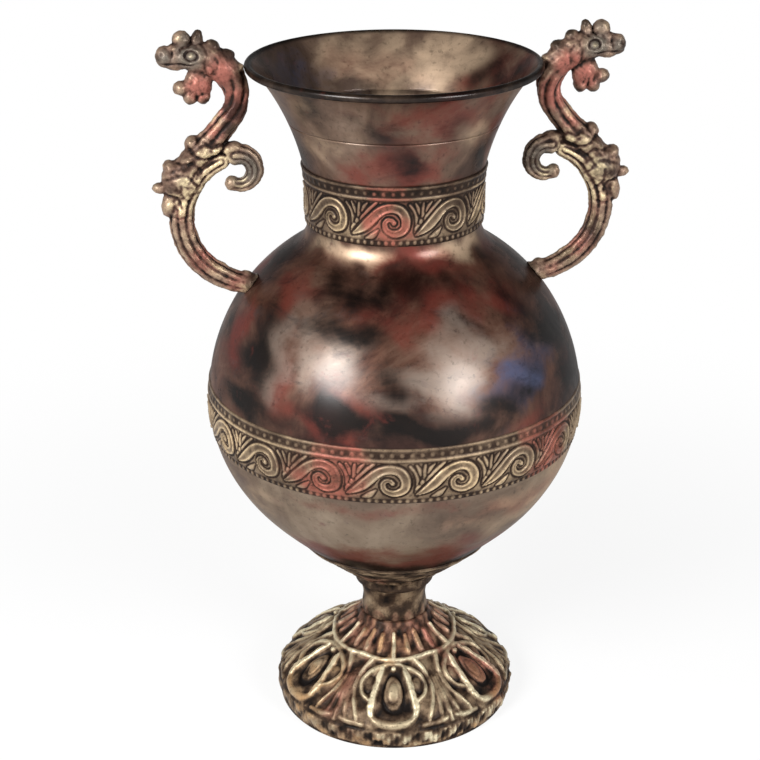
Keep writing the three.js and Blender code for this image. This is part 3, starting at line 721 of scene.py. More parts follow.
# Lines of the scroll: places and half widths
RIBBON = spline([
    (-25.5, -7.2, 0.5), (-21, -4.6, 2.0), (-16.6, -1.2, 3.0), (-12.6, 2.7, 3.1), (-9.6, 5.6, 3.0),
    (-5.4, 8.2, 2.8), (-0.2, 9.1, 2.7), (4.7, 7.3, 2.8), (7.6, 2.2, 2.8), (6.6, -3.7, 2.5),
    (1.2, -6.2, 2.0), (-3.7, -4.4, 1.6), (-5.2, -0.6, 1.4), (-3.6, 1.9, 1.2), (-1.2, 1.9, 1.1),
    (0.5, 0.3, 1.2),
], 260)
TENDRILS = [
    [(10, 10.8, 0.6), (13.2, 6.4, 0.8), (14.4, 0.6, 0.9), (13.4, -5.4, 0.6)],
    [(-26, -3.6, 0.6), (-18.6, 4.2, 0.9), (-14.4, 8.4, 0.9), (-10.2, 12.2, 0.7)],
    [(-16.8, -9.2, 0.4), (-12.8, -7.6, 1.5), (-9.2, -4.2, 0.3)],
    [(17.6, 2.8, 0.4), (18.2, 6.4, 1.2), (18.6, 11.4, 0.5)],
    [(15.9, 5.2, 0.4), (15.2, 8.4, 0.9), (13.6, 11.6, 0.4)],
    [(20.2, 6.6, 0.4), (21.6, 9.4, 0.9), (23.8, 11.8, 0.4)],
    [(16.6, 0.4, 0.9), (16.8, 0.9, 0.9), (17.0, 1.3, 0.9)],
]

# Rows of beads: level, number to a repeat, depth of the row and height of the beads
BEAD_ROWS = ((-11.8, 9, 0.16, 0.34), (17.4, 7, 0.06, 0.2))

# Plain ridges along the strip: level, half width and height
RIDGES = ((14.3, 0.8, 0.74), (20.6, 0.9, 0.6))


def scroll_relief(along, up):
    """Height of the strip, from 0 in its grooves to 1 on its ridges."""
    relief = np.full(along.shape, 0.54)
    tiles = (-SCROLL_DRAWN, 0, SCROLL_DRAWN)
    for line in [spline(t, 40) for t in TENDRILS]:
        gap = np.full(along.shape, FAR)
        for shift in tiles:
            distance, index = nearest(line, along - shift, up)
            gap = np.minimum(gap, distance - line[index, 2])
        relief -= 0.3 * bump(gap - 0.7, 0.5)
        relief = np.maximum(relief, 0.3 + 0.46 * fade(gap, -0.5, 0.5))

    # The ribbon has raised edges and lies in a moat
    gap = np.full(along.shape, FAR)
    ribbon = np.zeros(along.shape)
    for shift in tiles:
        distance, index = nearest(RIBBON, along - shift, up)
        half = RIBBON[index, 2]
        share = distance / half
        section = 0.62 + 0.36 * bump(share - 0.76, 0.2) - 0.1 * bump(share, 0.35)
        ribbon = np.where(distance - half < gap, section, ribbon)
        gap = np.minimum(gap, distance - half)
    moat = 1 - ease(np.abs(gap - 0.7), 0.2, 0.9)
    relief = np.maximum(relief - 0.55 * moat, 0)
    relief = np.where(gap < 0.6, np.maximum(relief, ribbon * fade(gap, -0.4, 0.6)), relief)
    knob = np.hypot((along - 0.2 + SCROLL_DRAWN / 2) % SCROLL_DRAWN - SCROLL_DRAWN / 2, up - 0.2)
    relief = np.maximum(relief, 0.9 * fade(knob, 0.5, 1.8))

    # Borders
    inside = ease(up, -10.6, -10.0) * fade(up, 12.2, 12.8)
    relief = relief * inside + 0.43 * (1 - inside)
    for level, count, depth, height in BEAD_ROWS:
        period = SCROLL_DRAWN / count
        bead = np.hypot((along + period / 2) % period - period / 2, up - level)
        beaded = relief - depth * bump(up - level, 2.0) + height * fade(bead, 0.45, 1.8)
        relief = np.where(np.abs(up - level) < 2.4, beaded, relief)
    for level, half, height in RIDGES:
        ridge = fade(np.abs(up - level), 0.25, half + 0.7)
        relief = np.maximum(relief, 0.3 + (height - 0.3) * ridge)
    return np.clip(relief, 0, 1)


def strip(name, node, wall, low, repeats, rows, columns, deepest, highest, darkening, paints):
    """The embossed strip bent round a wall, with a plain back; its upper half is painted darker."""
    heights = np.linspace(0, STRIP, rows)
    along = np.arange(columns) / columns * SCROLL_DRAWN
    relief = scroll_relief(*np.meshgrid(along - SCROLL_DRAWN / 2, heights - SCROLL_HEIGHT))
    edge = np.minimum(ease(heights, 0, 0.9), ease(STRIP - heights, 0, 0.9))[:, None]
    lift = (deepest + (highest - deepest) * relief) * edge + deepest * (1 - edge)
    front = np.tile(wall(low + heights)[:, None] + lift, (1, repeats))
    total = columns * repeats
    rear = np.linspace(STRIP, 0, 4)
    back = np.repeat(wall(low + rear)[:, None] + deepest - 0.35, total, 1)
    levels = low + np.concatenate([heights, rear])
    points = spun(np.vstack([front, back]), levels, repeat_turn(columns, repeats))
    # The upper half of the strip is painted darker
    shade = relief - darkening * ease(heights, SCROLL_HEIGHT - 5, SCROLL_HEIGHT + 9)[:, None]
    shades = {"relief": np.vstack([np.tile(shade, (1, repeats)), 0 * back]), **painted(points, paints)}
    piece(name, points, ring_faces(points, total), BAND, [node], shades)


strip("neck_strip", "neck_band", neck_radius, NECK_BAND_LOW, repeats=9, rows=76, columns=84,
      deepest=0.5, highest=2.2, darkening=0.13, paints=NECK_BAND_PAINTS)
strip("belly_strip", "belly_band", belly_radius, BELLY_BAND_LOW, repeats=18, rows=64, columns=72,
      deepest=-0.6, highest=1.35, darkening=0.03, paints=BELLY_BAND_PAINTS)


# Foot: a pressed dome, measured along its outline from the ground up

DOME_RISE = FOOT_HEIGHT - FOOT_ROLL
DOME = bezier(
    (FOOT_RADIUS, FOOT_ROLL), (FOOT_RADIUS, FOOT_ROLL + 0.33 * DOME_RISE),
    (FOOT_TOP + 0.22 * (FOOT_RADIUS - FOOT_TOP), FOOT_HEIGHT - 0.36 * DOME_RISE),
    (FOOT_TOP, FOOT_HEIGHT), 160)
EDGE_BULGE = (FOOT_RADIUS - FOOT_BASE) * np.sin(np.linspace(0, np.pi / 2, 20)[:-1])
FOOT_EDGE = np.stack([FOOT_BASE + EDGE_BULGE, np.linspace(0, FOOT_ROLL, 20)[:-1]], -1)
FOOT_LINE = np.vstack([FOOT_EDGE, DOME])
FOOT_RUN = distances(FOOT_LINE)
PANELS = 6
FOOT_LIFT = 3.2
FOOT_SINK = 2.1

# Places up the outline
BORDER_GROOVE = 13.8
EGG = 39.0
LOBE = 43.5
BEAD = 55.2
CORNER = 57.0
RING = 61.4
LEAF_GROOVE = 66.0

# Ribs of one panel: degrees from its middle, place up the outline and half width; then height and paleness
RIBS = [
    ([(-19, 61, 1.2), (-23, 54, 1.3), (-25.2, 45, 1.4), (-24.4, 36, 1.4), (-21, 27, 1.3),
      (-18.5, 19, 1.0)], 0.82, 0.5),
    ([(-8.4, 55.0, 1.4), (-10.6, 48, 2.1), (-11.8, 38, 2.3), (-12.4, 29, 2.7), (-11.6, 23.5, 2.2)],
     0.98, 0.95),
    ([(-11.8, 24, 2.2), (-9.5, 20.4, 2.4), (-5.5, 18, 2.6), (0, 17.4, 2.6)], 0.82, 0.25),
    ([(0, 58.9, 1.1), (-6.5, 57.9, 1.2), (-13, 55, 1.2), (-18.6, 51, 1.3), (-21.2, 44.5, 1.3),
      (-19.2, 37, 1.4), (-14.8, 33, 1.1)], 0.84, 0.5),
    ([(-28.0, 47, 0.9), (-27.2, 32, 1.5), (-24.6, 17.5, 1.4)], 0.66, 0.35),
    ([(-30, 46, 0.9), (-30, 30, 1.5), (-30, 16, 1.4)], 0.64, 0.2),
    ([(0, 62, 1.4), (0, 70, 1.6), (0, 79, 1.0)], 0.9, 0.9),
    ([(-30, 67, 1.4), (-30, 73, 2.0), (-30, 80, 1.2)], 0.8, 0.4),
    ([(-16, 66.5, 1.2), (-15.6, 71, 1.6), (-15, 78, 1.0)], 0.74, 0.3),
    ([(-27, 18, 1.4), (-21.5, 16.6, 2.0), (-15.5, 16.4, 1.5)], 0.7, 0.5),
]


def degree_length(run):
    """Millimetres round the foot to a degree, at a place up its outline."""
    return np.interp(run, FOOT_RUN, FOOT_LINE[:, 0]) * np.pi / 180


def foot_relief(degrees, run):
    """Height of the pressed relief, from 0 in its moats to 1 on its ribs, and how pale it is rubbed."""
    scale = degree_length(run)
    degrees = np.abs(degrees)
    along = degrees * scale
    pale = np.zeros(run.shape)
    relief = np.full(run.shape, 0.38)
    relief -= 0.12 * fade(np.hypot(degrees / 24, (run - EGG) / 24), 0.9, 1.05)
    relief -= 0.34 * bump(run - LEAF_GROOVE, 3.0) + 0.16 * ease(run, LEAF_GROOVE, LEAF_GROOVE + 3)
    relief -= 0.36 * bump(run - CORNER, 3.0) * ease(degrees, 21, 26)
    relief -= 0.2 * bump(degrees - 27.5, 5) * fade(run, 26, 40)
    for line, height, rubbed in RIBS:
        path = spline(line, 90)
        reach = np.stack([np.abs(path[:, 0]) * degree_length(path[:, 1]), path[:, 1]], -1)
        distance, index = nearest(reach, along, run)
        half = path[index, 2]
        rib = fade(distance, 0.3 * half, half + 1.1)
        relief = np.maximum(relief - 0.18 * bump(distance - half - 1.4, 0.9), 0.25 + (height - 0.25) * rib)
        pale = np.maximum(pale, rubbed * ease(rib, 0.3, 0.7))
    ring = fade(np.abs(run - RING - 1.4 * (degrees / 30)**2), 0.5, 2.4)
    relief = np.maximum(relief, 0.3 + 0.62 * ring)
    pale = np.maximum(pale, 0.8 * ring)
    egg = np.hypot(along / (5.4 + 0.1 * (40 - run)), (run - EGG) / 11)
    relief -= 0.36 * bump(egg - 1.2, 0.16)
    dome = 0.3 + 0.42 * np.sqrt(np.clip(1 - (egg / 1.08)**2, 0, 1)) - 0.2 * bump(egg - 0.66, 0.12)
    relief = np.where(egg < 1.08, np.maximum(relief, dome), relief)
    pale = np.where(egg < 1.08, 0.2 * bump(egg - 0.85, 0.12), pale)
    lobe = np.hypot((along - 16 * scale) / 3.4, (run - LOBE) / 5.4)
    dome = 0.12 + 0.4 * np.sqrt(np.clip(1 - lobe**2, 0, 1))
    relief = np.where(lobe < 1.25, np.maximum(relief - 0.2 * bump(lobe - 1.1, 0.2), dome), relief)
    bead = fade(np.hypot(along, run - BEAD), 1.0, 2.7)
    relief = np.maximum(relief, 0.95 * bead)
    relief -= 0.1 * bump(run - BORDER_GROOVE, 1.3)
    return np.clip(relief, 0, 1), np.maximum(pale, bead)


def foot(columns=120, rows=106):
    """Six panels round the dome over a reeded edge, with a hollow underside and a hem."""
    total = columns * PANELS
    runs = np.linspace(0, FOOT_RUN[-1], rows)
    degrees = (np.arange(columns) / columns - 0.5) * 360 / PANELS
    relief, pale = (np.tile(v, (1, PANELS)) for v in foot_relief(*np.meshgrid(degrees, runs)))
    angles = repeat_turn(columns, PANELS)
    turn, run = np.meshgrid(angles, runs)
    reeds = 0.1 * np.cos(144 * turn) + waves(turn, run, ((0.18, 31, 3, 0), (0.16, 47, -2, 0)))
    rough = 0.55 + 0.45 * np.cos(turn - VIEW_TURN - math.radians(45))
    border = ease(run, 1.0, 2.6) * fade(run, 11.4, 12.8)
    relief = relief * (1 - border) + (0.46 + rough * reeds) * border
    uneven = waves(turn, run, ((1, 7, 5, 0), (1, 11, -3.7, 1), (1, 17, 2.9, 2), (1, 29, -2.1, 0)))
    ends = np.maximum(ease(run, 81, 85), fade(run, 0.8, 1.8))
    scallops = 0.32 + 0.14 * np.cos(18 * turn + np.sin(7 * turn))
    relief = np.clip(relief + 0.07 * uneven, 0, 1) * (1 - ends) + scallops * ends
    outline = np.stack([np.interp(runs, FOOT_RUN, FOOT_LINE[:, k]) for k in (0, 1)], -1)
    within = (ease(runs, 0, 2.5) * fade(runs, 80, 86))[:, None]
    front = raised(outline, (FOOT_LIFT * relief - FOOT_SINK) * within)
    inner = offset(DOME[::8], FOOT_WALL + 0.8)
    inner[:, 1] = np.minimum(inner[:, 1], FOOT_HEIGHT - FOOT_WALL)
    hem = FOOT_BASE - HEM
    under = np.vstack([
        [(BOLT_HOLE, FOOT_HEIGHT), (BOLT_HOLE, FOOT_HEIGHT - FOOT_WALL)], inner[::-1],
        [(FOOT_BASE - FOOT_WALL - 0.6, FOOT_WALL), (hem, FOOT_WALL), (hem, 0.4), (hem + 0.4, 0)],
    ])
    outline = np.concatenate([front, ringed(under, total)])
    points = spun(outline[..., 0], outline[..., 1], angles)
    back = np.zeros((len(under), total))
    rubbed = np.vstack([pale, back]).ravel() * (0.5 + 0.5 * patches(points, FOOT_BRIGHT))
    # Pale: ribs rubbed pale, and painted glints on the reeded edge
    paints = {
        "relief": np.vstack([relief, back + 0.3]),
        "pale": np.maximum(rubbed, patches(points, FOOT_PAINTED_GLINTS)),
        "red": np.maximum(0.55 * ease(points[:, 2], 38, 47), patches(points, FOOT_RED)),
        "tan": patches(points, FOOT_TAN),
    }
    piece("foot_shell", points, ring_faces(points, total), FOOT, ["foot_dome"], paints)


foot()


# Handles: one casting as a distance field, meshed once and used twice

def bar(path, x, y, z, flutes, depth, twist=0.0):
    """A bar of elliptic section along stations of place, half width and half depth.

    Its flutes have a depth at each station, and they may wind.
    """
    x, z = x[:, 0, :], z[:, 0, :]
    distance, index = nearest(path, x, z)
    along = np.gradient(path[:, :2], axis=0)
    side = along[index, 0] * (z - path[index, 1]) - along[index, 1] * (x - path[index, 0])
    share = (np.sign(side) * distance / path[index, 2])[:, None, :]
    index = index[:, None, :]
    half, deep = path[index, 2], path[index, 3]
    field = (np.hypot(share, y / deep) - 1) * np.minimum(half, deep)
    wind = twist * ease(index / len(path), 0.3, 1.0)
    return field + depth[index] * (0.5 - 0.5 * np.cos(flutes * np.arctan2(y / deep, share) + wind))**2


def blob(x, y, z, centre, half, tilt=0.0):
    """An ellipsoid: half length, half height and half depth, turned in the casting's plane."""
    c, s = math.cos(math.radians(tilt)), math.sin(math.radians(tilt))
    a, b = x - centre[0], z - centre[1]
    reach = np.sqrt(((a * c + b * s) / half[0])**2 + ((b * c - a * s) / half[1])**2 + (y / half[2])**2)
    return (reach - 1) * min(half)


def join(a, b, soft):
    """Union with a fillet."""
    h = np.clip(0.5 + 0.5 * (b - a) / soft, 0, 1)
    return b + (a - b) * h - soft * h * (1 - h)


def box_blur(field, reach):
    """Mean of the field over a box about each grid point."""
    window = 2 * reach + 1
    for axis in range(3):
        width = [(0, 0)] * 3
        width[axis] = (reach + 1, reach)
        total = np.cumsum(np.pad(field, width, mode="edge"), axis)
        size = field.shape[axis]
        high = np.take(total, np.arange(window, window + size), axis)
        low = np.take(total, np.arange(size), axis)
        field = (high - low) / window
    return field


def surface(field, low, step):
    """The field's zero surface, a point to each cell that it crosses: points, quads, places in the grid."""
    shape = np.array(field.shape) - 1
    strides = np.array([shape[1] * shape[2], shape[2], 1])
    sums, counts, quads = np.zeros((shape.prod(), 3)), np.zeros(shape.prod()), []
    for axis in range(3):
        ahead = np.roll(field, -1, axis)
        crossed = (field < 0) != (ahead < 0)
        np.moveaxis(crossed, axis, 0)[-1] = False
        cells = np.argwhere(crossed)
        start, end = field[crossed], ahead[crossed]
        where = cells.astype(float)
        where[:, axis] += start / (start - end)
        b, c = (axis + 1) % 3, (axis + 2) % 3
        corners = []
        for i, j in ((1, 1), (0, 1), (0, 0), (1, 0)):
            corner = cells @ strides - i * strides[b] - j * strides[c]
            corners.append(corner)
            counts += np.bincount(corner, minlength=len(counts))
            for k in range(3):
                sums[:, k] += np.bincount(corner, where[:, k], minlength=len(counts))
        quad = np.stack(corners, -1)
        quads.append(np.where((start < 0)[:, None], quad, quad[:, ::-1]))
    used = counts > 0
    number = np.cumsum(used) - 1
    index = sums[used] / counts[used][:, None]
    return low + step * index, number[np.vstack(quads)], index


def sample(field, index):
    """The field between its grid points."""
    base = np.clip(index.astype(int), 0, np.array(field.shape) - 2)
    f = index - base
    total = 0
    for corner in np.ndindex(2, 2, 2):
        weight = np.prod(np.where(corner, f, 1 - f), 1)
        total = total + weight * field[tuple((base + corner).T)]
    return total


def from_leg(x, z):
    return LEG_CENTRE[0] + x, LEG_CENTRE[1] + z


def from_lip(x, z):
    return RIM + x, LIP_HEIGHT + z


def polar(centre, radius, degrees):
    turn = math.radians(degrees)
    return centre[0] + radius * math.cos(turn), centre[1] + radius * math.sin(turn)


def leg_path():
    """Stations of the leg and of the volute that it ends in: place, half width, half depth."""
    stations = []
    for angle in np.linspace(-108, 65, 320):
        thin, taper = max(0.0, angle) / 65, max(0.0, -60 - angle) / 45
        width = LEG_WIDTH * (1 - 0.27 * thin - 0.3 * taper)
        place = polar(LEG_CENTRE, LEG_RADIUS + np.sign(taper - thin) * 0.5 * (LEG_WIDTH - width), angle)
        stations.append((*place, width / 2, LEG_DEPTH * (1 - 0.15 * thin) / 2))
    for curl in np.linspace(0, 1, 160)[1:]:
        place = polar(from_leg(6.1, 28.5), VOLUTE * (1 - 0.14 * curl), 75 + 225 * curl)
        stations.append((*place, VOLUTE * (0.65 - 0.24 * curl), LEG_DEPTH * (0.425 - 0.14 * curl)))
    return np.array(stations)


# Stations of the neck: place and swell
NECK_STATIONS = [
    (from_leg(36, 30), 1.1), (from_leg(27, 41), 1.05), (from_leg(19, 49.5), 0.97),
    (from_lip(12, -32), 0.96), (from_lip(5.9, -23.5), 0.94), (from_lip(4.6, -14.5), 0.96),
    (from_lip(6.8, -6.5), 1.05), (from_lip(12, 0.5), 1.15), (from_lip(20, 6), 1.05),
]

# Lumps of the casting: place, half length, half height and half depth, tilt, and how softly each joins
BODY_LUMPS = [
    ((39.0, 24.0), (12.6, 12.2, 9.4), 118, 2.0), ((27.5, 41), (9.5, 5.5, 8.8), -38, 1.2),
    ((10, 42), (6.4, 4.0, 5.2), -10, 1.0), ((52.0, 19.3), (4.8, 3.3, 3.4), 4, 0.9),
    ((47.2, 9.8), (4.6, 8.4, 5.2), 10, 1.2), ((45, 31), (5.6, 4.2, 6.8), 40, 0.8),
    ((33, 46), (4.8, 3.6, 5.6), -50, 0.7), ((20, 42), (6.5, 3.2, 7.2), -28, 0.8),
    ((36, 36), (7.5, 3.4, 9.0), -46, 0.8), ((44, 20), (6.5, 4.4, 8.2), 70, 0.8),
    ((40.5, 6), (3.2, 8.5, 7.6), 4, 0.9), ((3.6, -36.5), (4.2, 2.7, 3.4), 6, 1.0),
]
HEAD_LUMPS = [
    ((24.5, 7), (12.0, 8.6, 7.8), 0, 2.2), ((36.5, 6.6), (11, 6.0, 6.2), -3, 1.6),
    ((44.3, 7.8), (5.3, 6.2, 5.4), 0, 0.8), ((38.5, 12.4), (5.0, 3.0, 4.6), -8, 0.9),
    ((39.5, 2.8), (5.6, 2.8, 5.0), 4, 0.8), ((26, -8.0), (8.0, 8.8, 5.8), 0, 1.6),
    ((36.2, -10.6), (4.8, 4.2, 4.4), 15, 1.0), ((31.0, -15.6), (4.2, 4.6, 4.6), 0, 0.6),
    ((23.6, -15.3), (4.2, 4.6, 4.6), 0, 0.6), ((10.4, 7.4), (5.6, 3.8, 4.4), -14, 0.6),
    ((17.6, 12.6), (4.4, 4.4, 4.2), 10, 0.6), ((25.8, 16.7), (3.3, 6.0, 3.4), 8, 0.6),
    ((34.6, 17.0), (5.4, 5.4, 4.6), 0, 0.6), ((19, 2), (3.6, 6.5, 8.6), 24, 0.8),
    ((3.4, 0.8), (5.0, 2.3, 3.6), 12, 1.2),
]

# Cuts in its two faces: the line, its half width and its depth
HEAD_CUTS = [
    ([(51, 4.6), (44, 4.2), (37, 4.6), (31, 3.6), (26, 5.0)], 0.6, 0.9),
    ([(23.4, 15), (20.5, 10), (22.5, 4), (20.5, -3)], 0.8, 0.5),
    ([(17.4, 9), (14.6, 4.5), (16, -2)], 0.8, 0.4),
    ([(22, -3), (25.6, -8), (24, -14)], 0.7, 0.45),
    ([(28.6, -4), (31, -9), (30, -15)], 0.65, 0.4),
    ([(27.4, -11), (27.3, -16), (27.5, -20)], 0.7, 0.7),
    ([(41, 13.4), (40, 10), (41.5, 6)], 0.55, 0.6),
    ([(31.5, 15.5), (30, 13), (26, 13.6)], 0.6, 0.6),
]
BODY_CUTS = [
    ([(15, 39), (23, 37.5), (30, 39), (35, 44), (37, 50)], 0.9, 0.65),
    ([(28, 31), (33, 35), (40, 35), (46, 37)], 0.9, 0.6),
    ([(31, 22), (37, 28.5), (45, 27), (51, 24)], 0.9, 0.6),
    ([(40, 9), (43, 15), (49, 15.8)], 0.9, 0.6),
    ([(17, 46), (22, 44.5), (26, 48)], 0.8, 0.5),
    ([(34, 10), (39.5, 16), (40, 23)], 0.9, 0.5),
    ([(25, 35), (31, 30), (35, 24)], 0.8, 0.45),
    ([(36, 3), (43, 2), (48, 4)], 0.8, 0.45),
    ([(24, 47), (29, 44), (33, 41)], 0.7, 0.45),
]

EYE = from_lip(29.6, 8.9)
EYE_RING = (5.4, 4.2)
NOSTRIL = from_lip(46.4, 9.6)


def casting_field(x, y, z):
    """Distance to the casting's surface, below 0 inside; it makes room for the globe and the lip."""
    leg = leg_path()
    field = bar(leg, x, y, z, flutes=8, depth=1.05 * ease(np.linspace(0, 1, len(leg)), 0.06, 0.16))
    tip = leg[-1]
    field = join(field, blob(x, y, z, tip[:2], (0.95 * tip[2], 1.1 * tip[2], 1.2 * tip[3])), 0.8)
    stations = []
    for place, swell in NECK_STATIONS:
        stations.append((*place, 0.5 * NECK_WIDTH * swell, 0.45 * NECK_WIDTH * swell))
    neck_bar = spline(stations, 400)
    share = np.linspace(0, 1, len(neck_bar))
    depth = 1.2 * ease(share, 0.06, 0.16) * (1 - 0.8 * ease(share, 0.68, 0.86))
    field = join(field, bar(neck_bar, x, y, z, flutes=6, depth=depth, twist=9.0), 1.6)
    for lumps, origin in ((BODY_LUMPS, from_leg), (HEAD_LUMPS, from_lip)):
        for place, half, tilt, soft in lumps:
            field = join(field, blob(x, y, z, origin(*place), half, tilt), soft)

    # Marks in both faces
    face = ease(np.abs(y), 1.5, 4.0)
    for cuts, origin in ((HEAD_CUTS, from_lip), (BODY_CUTS, from_leg)):
        for points, half, depth in cuts:
            distance = nearest(spline([origin(*p) for p in points], 60), x[:, 0, :], z[:, 0, :])[0]
            field = field + (depth * bump(distance / half, 1.0))[:, None, :] * face
    ring = np.hypot((x - EYE[0]) / EYE_RING[0], (z - EYE[1]) / EYE_RING[1])
    eye = 0.7 * bump(ring - 1, 0.22) - 0.7 * bump(ring - 0.66, 0.12) + 0.9 * bump(ring, 0.42)
    field = field - face * eye
    field = field + 0.8 * bump(np.hypot(x - NOSTRIL[0], z - NOSTRIL[1]), 1.3) * face

    # Unevenness of the cast skin
    grain = np.sin(x * 1.3 + 1.3 * np.sin(z * 0.9)) * np.sin(z * 1.2 + 0.8 * np.sin(y * 1.1))
    grain = grain * np.sin(y * 1.2 + x * 0.7)
    coarse = np.sin(x * 0.55 + 1.1 * np.sin(z * 0.4 + 0.5 * y))
    coarse = coarse * np.sin(z * 0.6 + 0.9 * np.sin(x * 0.35 + y * 0.5))
    field = field + 0.24 * grain + 0.22 * coarse
    over_globe = np.sqrt(x**2 + y**2 + (z - EQUATOR)**2) - (GLOBE + 0.15)
    over_lip = np.hypot(np.hypot(x, y) - LIP_CENTRE[0], z - LIP_CENTRE[1]) - (ROLL + SHEET + 0.12)
    return np.maximum(np.maximum(field, -over_globe), -over_lip)


# Corners and cell of the grid that the casting is meshed in
CAST_LOW = np.array([72.0, -12.4, 281.0])
CAST_HIGH = np.array([146.0, 12.4, 446.0])
CAST_CELL = 0.62

# Patches of paint on the casting: radius, height, spread and strength
CAST_PAINTS = {
    "red": [
        (94, 400, 13, 1.0), (101, 418, 10, 1.0), (112, 410, 10, 0.95), (104, 386, 9, 0.75),
        (112, 308, 13, 0.65), (127, 336, 7, 0.55), (96, 290, 10, 0.6), (118, 326, 8, 0.5),
    ],
    "grey": [
        (118, 428, 10, 0.9), (131, 427, 7, 0.8), (119, 439, 7, 0.6), (128, 436, 5, 0.5),
        (122, 405, 5, 0.5), (124, 357, 7, 0.6), (87, 361, 12, 0.9), (112, 436, 5, 0.5),
    ],
    "pale": [
        (124, 439, 4, 0.4), (116.3, 428.4, 3, 0.4), (89, 420, 4, 0.35), (106, 368, 11, 1.0),
        (117, 352, 13, 1.0), (125, 342, 10, 0.95), (95, 371, 8, 0.4), (104, 390, 6, 0.6),
        (121, 322, 9, 0.4), (90, 353, 7, 0.45), (106, 301, 8, 0.45), (110, 360, 6, 0.7), (92, 288, 6, 0.5),
    ],
    "dark": [
        (131, 420, 5, 0.6), (94, 430, 4.8, 1.0), (101.5, 436.5, 4.6, 1.0), (111.5, 441.5, 4.6, 1.0),
        (127, 439, 3.2, 0.6), (135.5, 427, 3.6, 0.75), (108, 400, 4.2, 0.95), (117.5, 399, 3.6, 0.8),
        (127, 408, 3, 0.6), (131, 352, 5, 0.6), (84, 291, 6, 0.7), (131, 336, 4, 0.6), (84, 366, 4, 0.5),
    ],
}
# Painted shadow on each casting: on the right one's lower leg, and on the left one's neck beside the lip
RIGHT_PAINTED_SHADOW = [(119, 314, 16, 0.6), (104, 297, 12, 0.45), (121, 360, 6, 0.3)]
LEFT_PAINTED_SHADOW = [(93, 396, 8, 1.1), (97, 387, 7, 0.9)]


def round_patches(points, blobs):
    """How far each point of the casting lies in the patches, up to their strength."""
    total = np.zeros(len(points))
    for radius, height, spread, strength in blobs:
        distance = np.hypot(points[:, 0] - radius, points[:, 2] - height)
        total = np.maximum(total, strength * bump(distance, spread))
    return total


def handles():
    """Both griffins; the left one is the right one turned half round the vase."""
    axes = [np.arange(low, high + CAST_CELL, CAST_CELL) for low, high in zip(CAST_LOW, CAST_HIGH)]
    field = casting_field(*np.meshgrid(*axes, indexing="ij"))
    points, quads, index = surface(field, CAST_LOW, CAST_CELL)
    relief = np.clip(0.44 + 0.8 * sample(box_blur(box_blur(field, 2), 3), index), 0, 1)
    paints = {key: round_patches(points, blobs) for key, blobs in CAST_PAINTS.items()}
    for side, turn, darkening in (("right", 1, RIGHT_PAINTED_SHADOW), ("left", -1, LEFT_PAINTED_SHADOW)):
        placed = points * np.array([turn, turn, 1])
        # Each casting's dark patches, with its own painted shadow
        dark = np.maximum(paints["dark"], round_patches(points, darkening))
        shades = {"relief": relief, **paints, "dark": dark}
        piece(side + "_griffin", placed, quads, CAST, [side + "_handle"], shades)


handles()


# Stage: a plain white floor, white surroundings and two soft lamps, in metres

FLOOR_SIZE = 14
LAMP_DISTANCE = 1.3
LAMP_AIM = 0.26

# Lamps: degrees from the camera and above the ground, power and size
LAMPS = {"left_softbox": (-39.5, 25.5, 25.0, 0.55), "right_softbox": (43.5, 19.0, 15.0, 0.5)}


def seen_directly(graph):
    """1 for rays from the camera and for what gloss and glass show, otherwise 0."""
    path = graph.node("LightPath").outputs
    seen = graph.math("MAXIMUM", path["Is Camera Ray"], path["Is Glossy Ray"])
    return graph.math("MAXIMUM", seen, path["Is Transmission Ray"])


def white_floor():
    """A floor that shows white, with a faint shadow near the vase."""
    bpy.ops.mesh.primitive_plane_add(size=FLOOR_SIZE)
    floor = bpy.context.object
    floor.name = "floor"
    paint = Paint("white_floor")
    distance = paint.node("VectorMath", {0: paint.place}, operation="LENGTH").outputs["Value"]
    amount = paint.math("MULTIPLY", seen_directly(paint), paint.span(distance, 0.12, 0.7, 0.86, 1.0))
    matte = paint.node("BsdfDiffuse", {"Color": (0.9, 0.9, 0.9, 1)}).outputs["BSDF"]
    white = paint.node("Emission").outputs["Emission"]
    mixed = paint.node("MixShader", {"Fac": amount, 1: matte, 2: white}).outputs["Shader"]
    paint.tree.nodes.remove(paint.shader)
    paint.put(paint.tree.nodes["Material Output"].inputs["Surface"], mixed)
    floor.data.materials.append(paint.material)


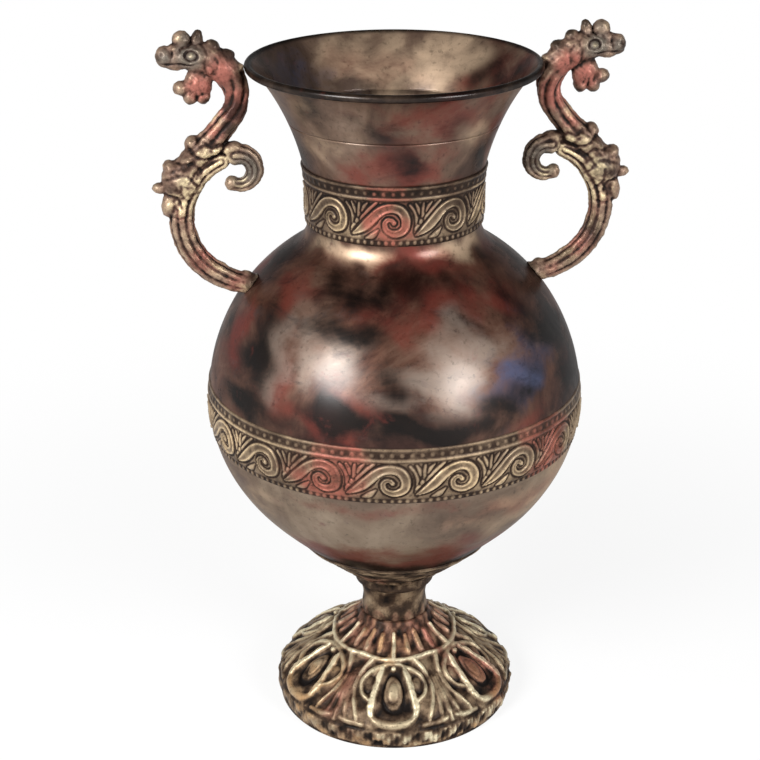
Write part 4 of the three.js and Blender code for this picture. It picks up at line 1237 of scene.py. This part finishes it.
def surroundings():
    """White all round, dim overhead, and a little weaker as light than as it is seen."""
    world = bpy.data.worlds.new("studio")
    bpy.context.scene.world = world
    world.use_nodes = True
    graph = Graph(world.node_tree)
    background = graph.tree.nodes["Background"]
    towards = graph.node("TexCoord").outputs["Generated"]
    rise = graph.node("SeparateXYZ", {"Vector": towards}).outputs["Z"]
    graph.put(background.inputs["Color"], graph.span(rise, 0.0, 0.55, 1.0, 0.12))
    graph.put(background.inputs["Strength"], graph.span(seen_directly(graph), 0.0, 1.0, 0.7, 1.0))


def lamps():
    for name, (degrees, rise, power, size) in LAMPS.items():
        light = bpy.data.lights.new(name, "AREA")
        light.shape = "DISK"
        light.size = size
        light.energy = power
        lamp = bpy.data.objects.new(name, light)
        bpy.context.scene.collection.objects.link(lamp)
        turn, lift = math.radians(degrees) + VIEW_TURN, math.radians(rise)
        out, up = LAMP_DISTANCE * math.cos(lift), LAMP_DISTANCE * math.sin(lift)
        lamp.location = (out * math.sin(turn), -out * math.cos(turn), LAMP_AIM + up)
        lamp.rotation_euler = (math.pi / 2 - lift, 0, turn)


white_floor()
surroundings()
lamps()


# Camera: fitted to the photograph's perspective, in pixels, millimetres, metres and radians

PHOTO_PIXELS = 760
FOCAL_PIXELS = 1699.9
SHIFT_PIXELS = -14.3
SENSOR = 36.0
CAMERA_DISTANCE = 0.9714
CAMERA_HEIGHT = 0.64005
CAMERA_PITCH = 0.407326

camera_data = bpy.data.cameras.new("camera")
camera_data.sensor_width = SENSOR
camera_data.lens = FOCAL_PIXELS / PHOTO_PIXELS * SENSOR
camera_data.shift_x = SHIFT_PIXELS / PHOTO_PIXELS
camera_data.clip_end = 50
camera = bpy.data.objects.new("camera", camera_data)
bpy.context.scene.collection.objects.link(camera)
camera.location = (
    CAMERA_DISTANCE * math.sin(VIEW_TURN), -CAMERA_DISTANCE * math.cos(VIEW_TURN), CAMERA_HEIGHT)
camera.rotation_euler = (math.pi / 2 - CAMERA_PITCH, 0, VIEW_TURN)
bpy.context.scene.camera = camera
bpy.context.scene.view_settings.view_transform = "Standard"
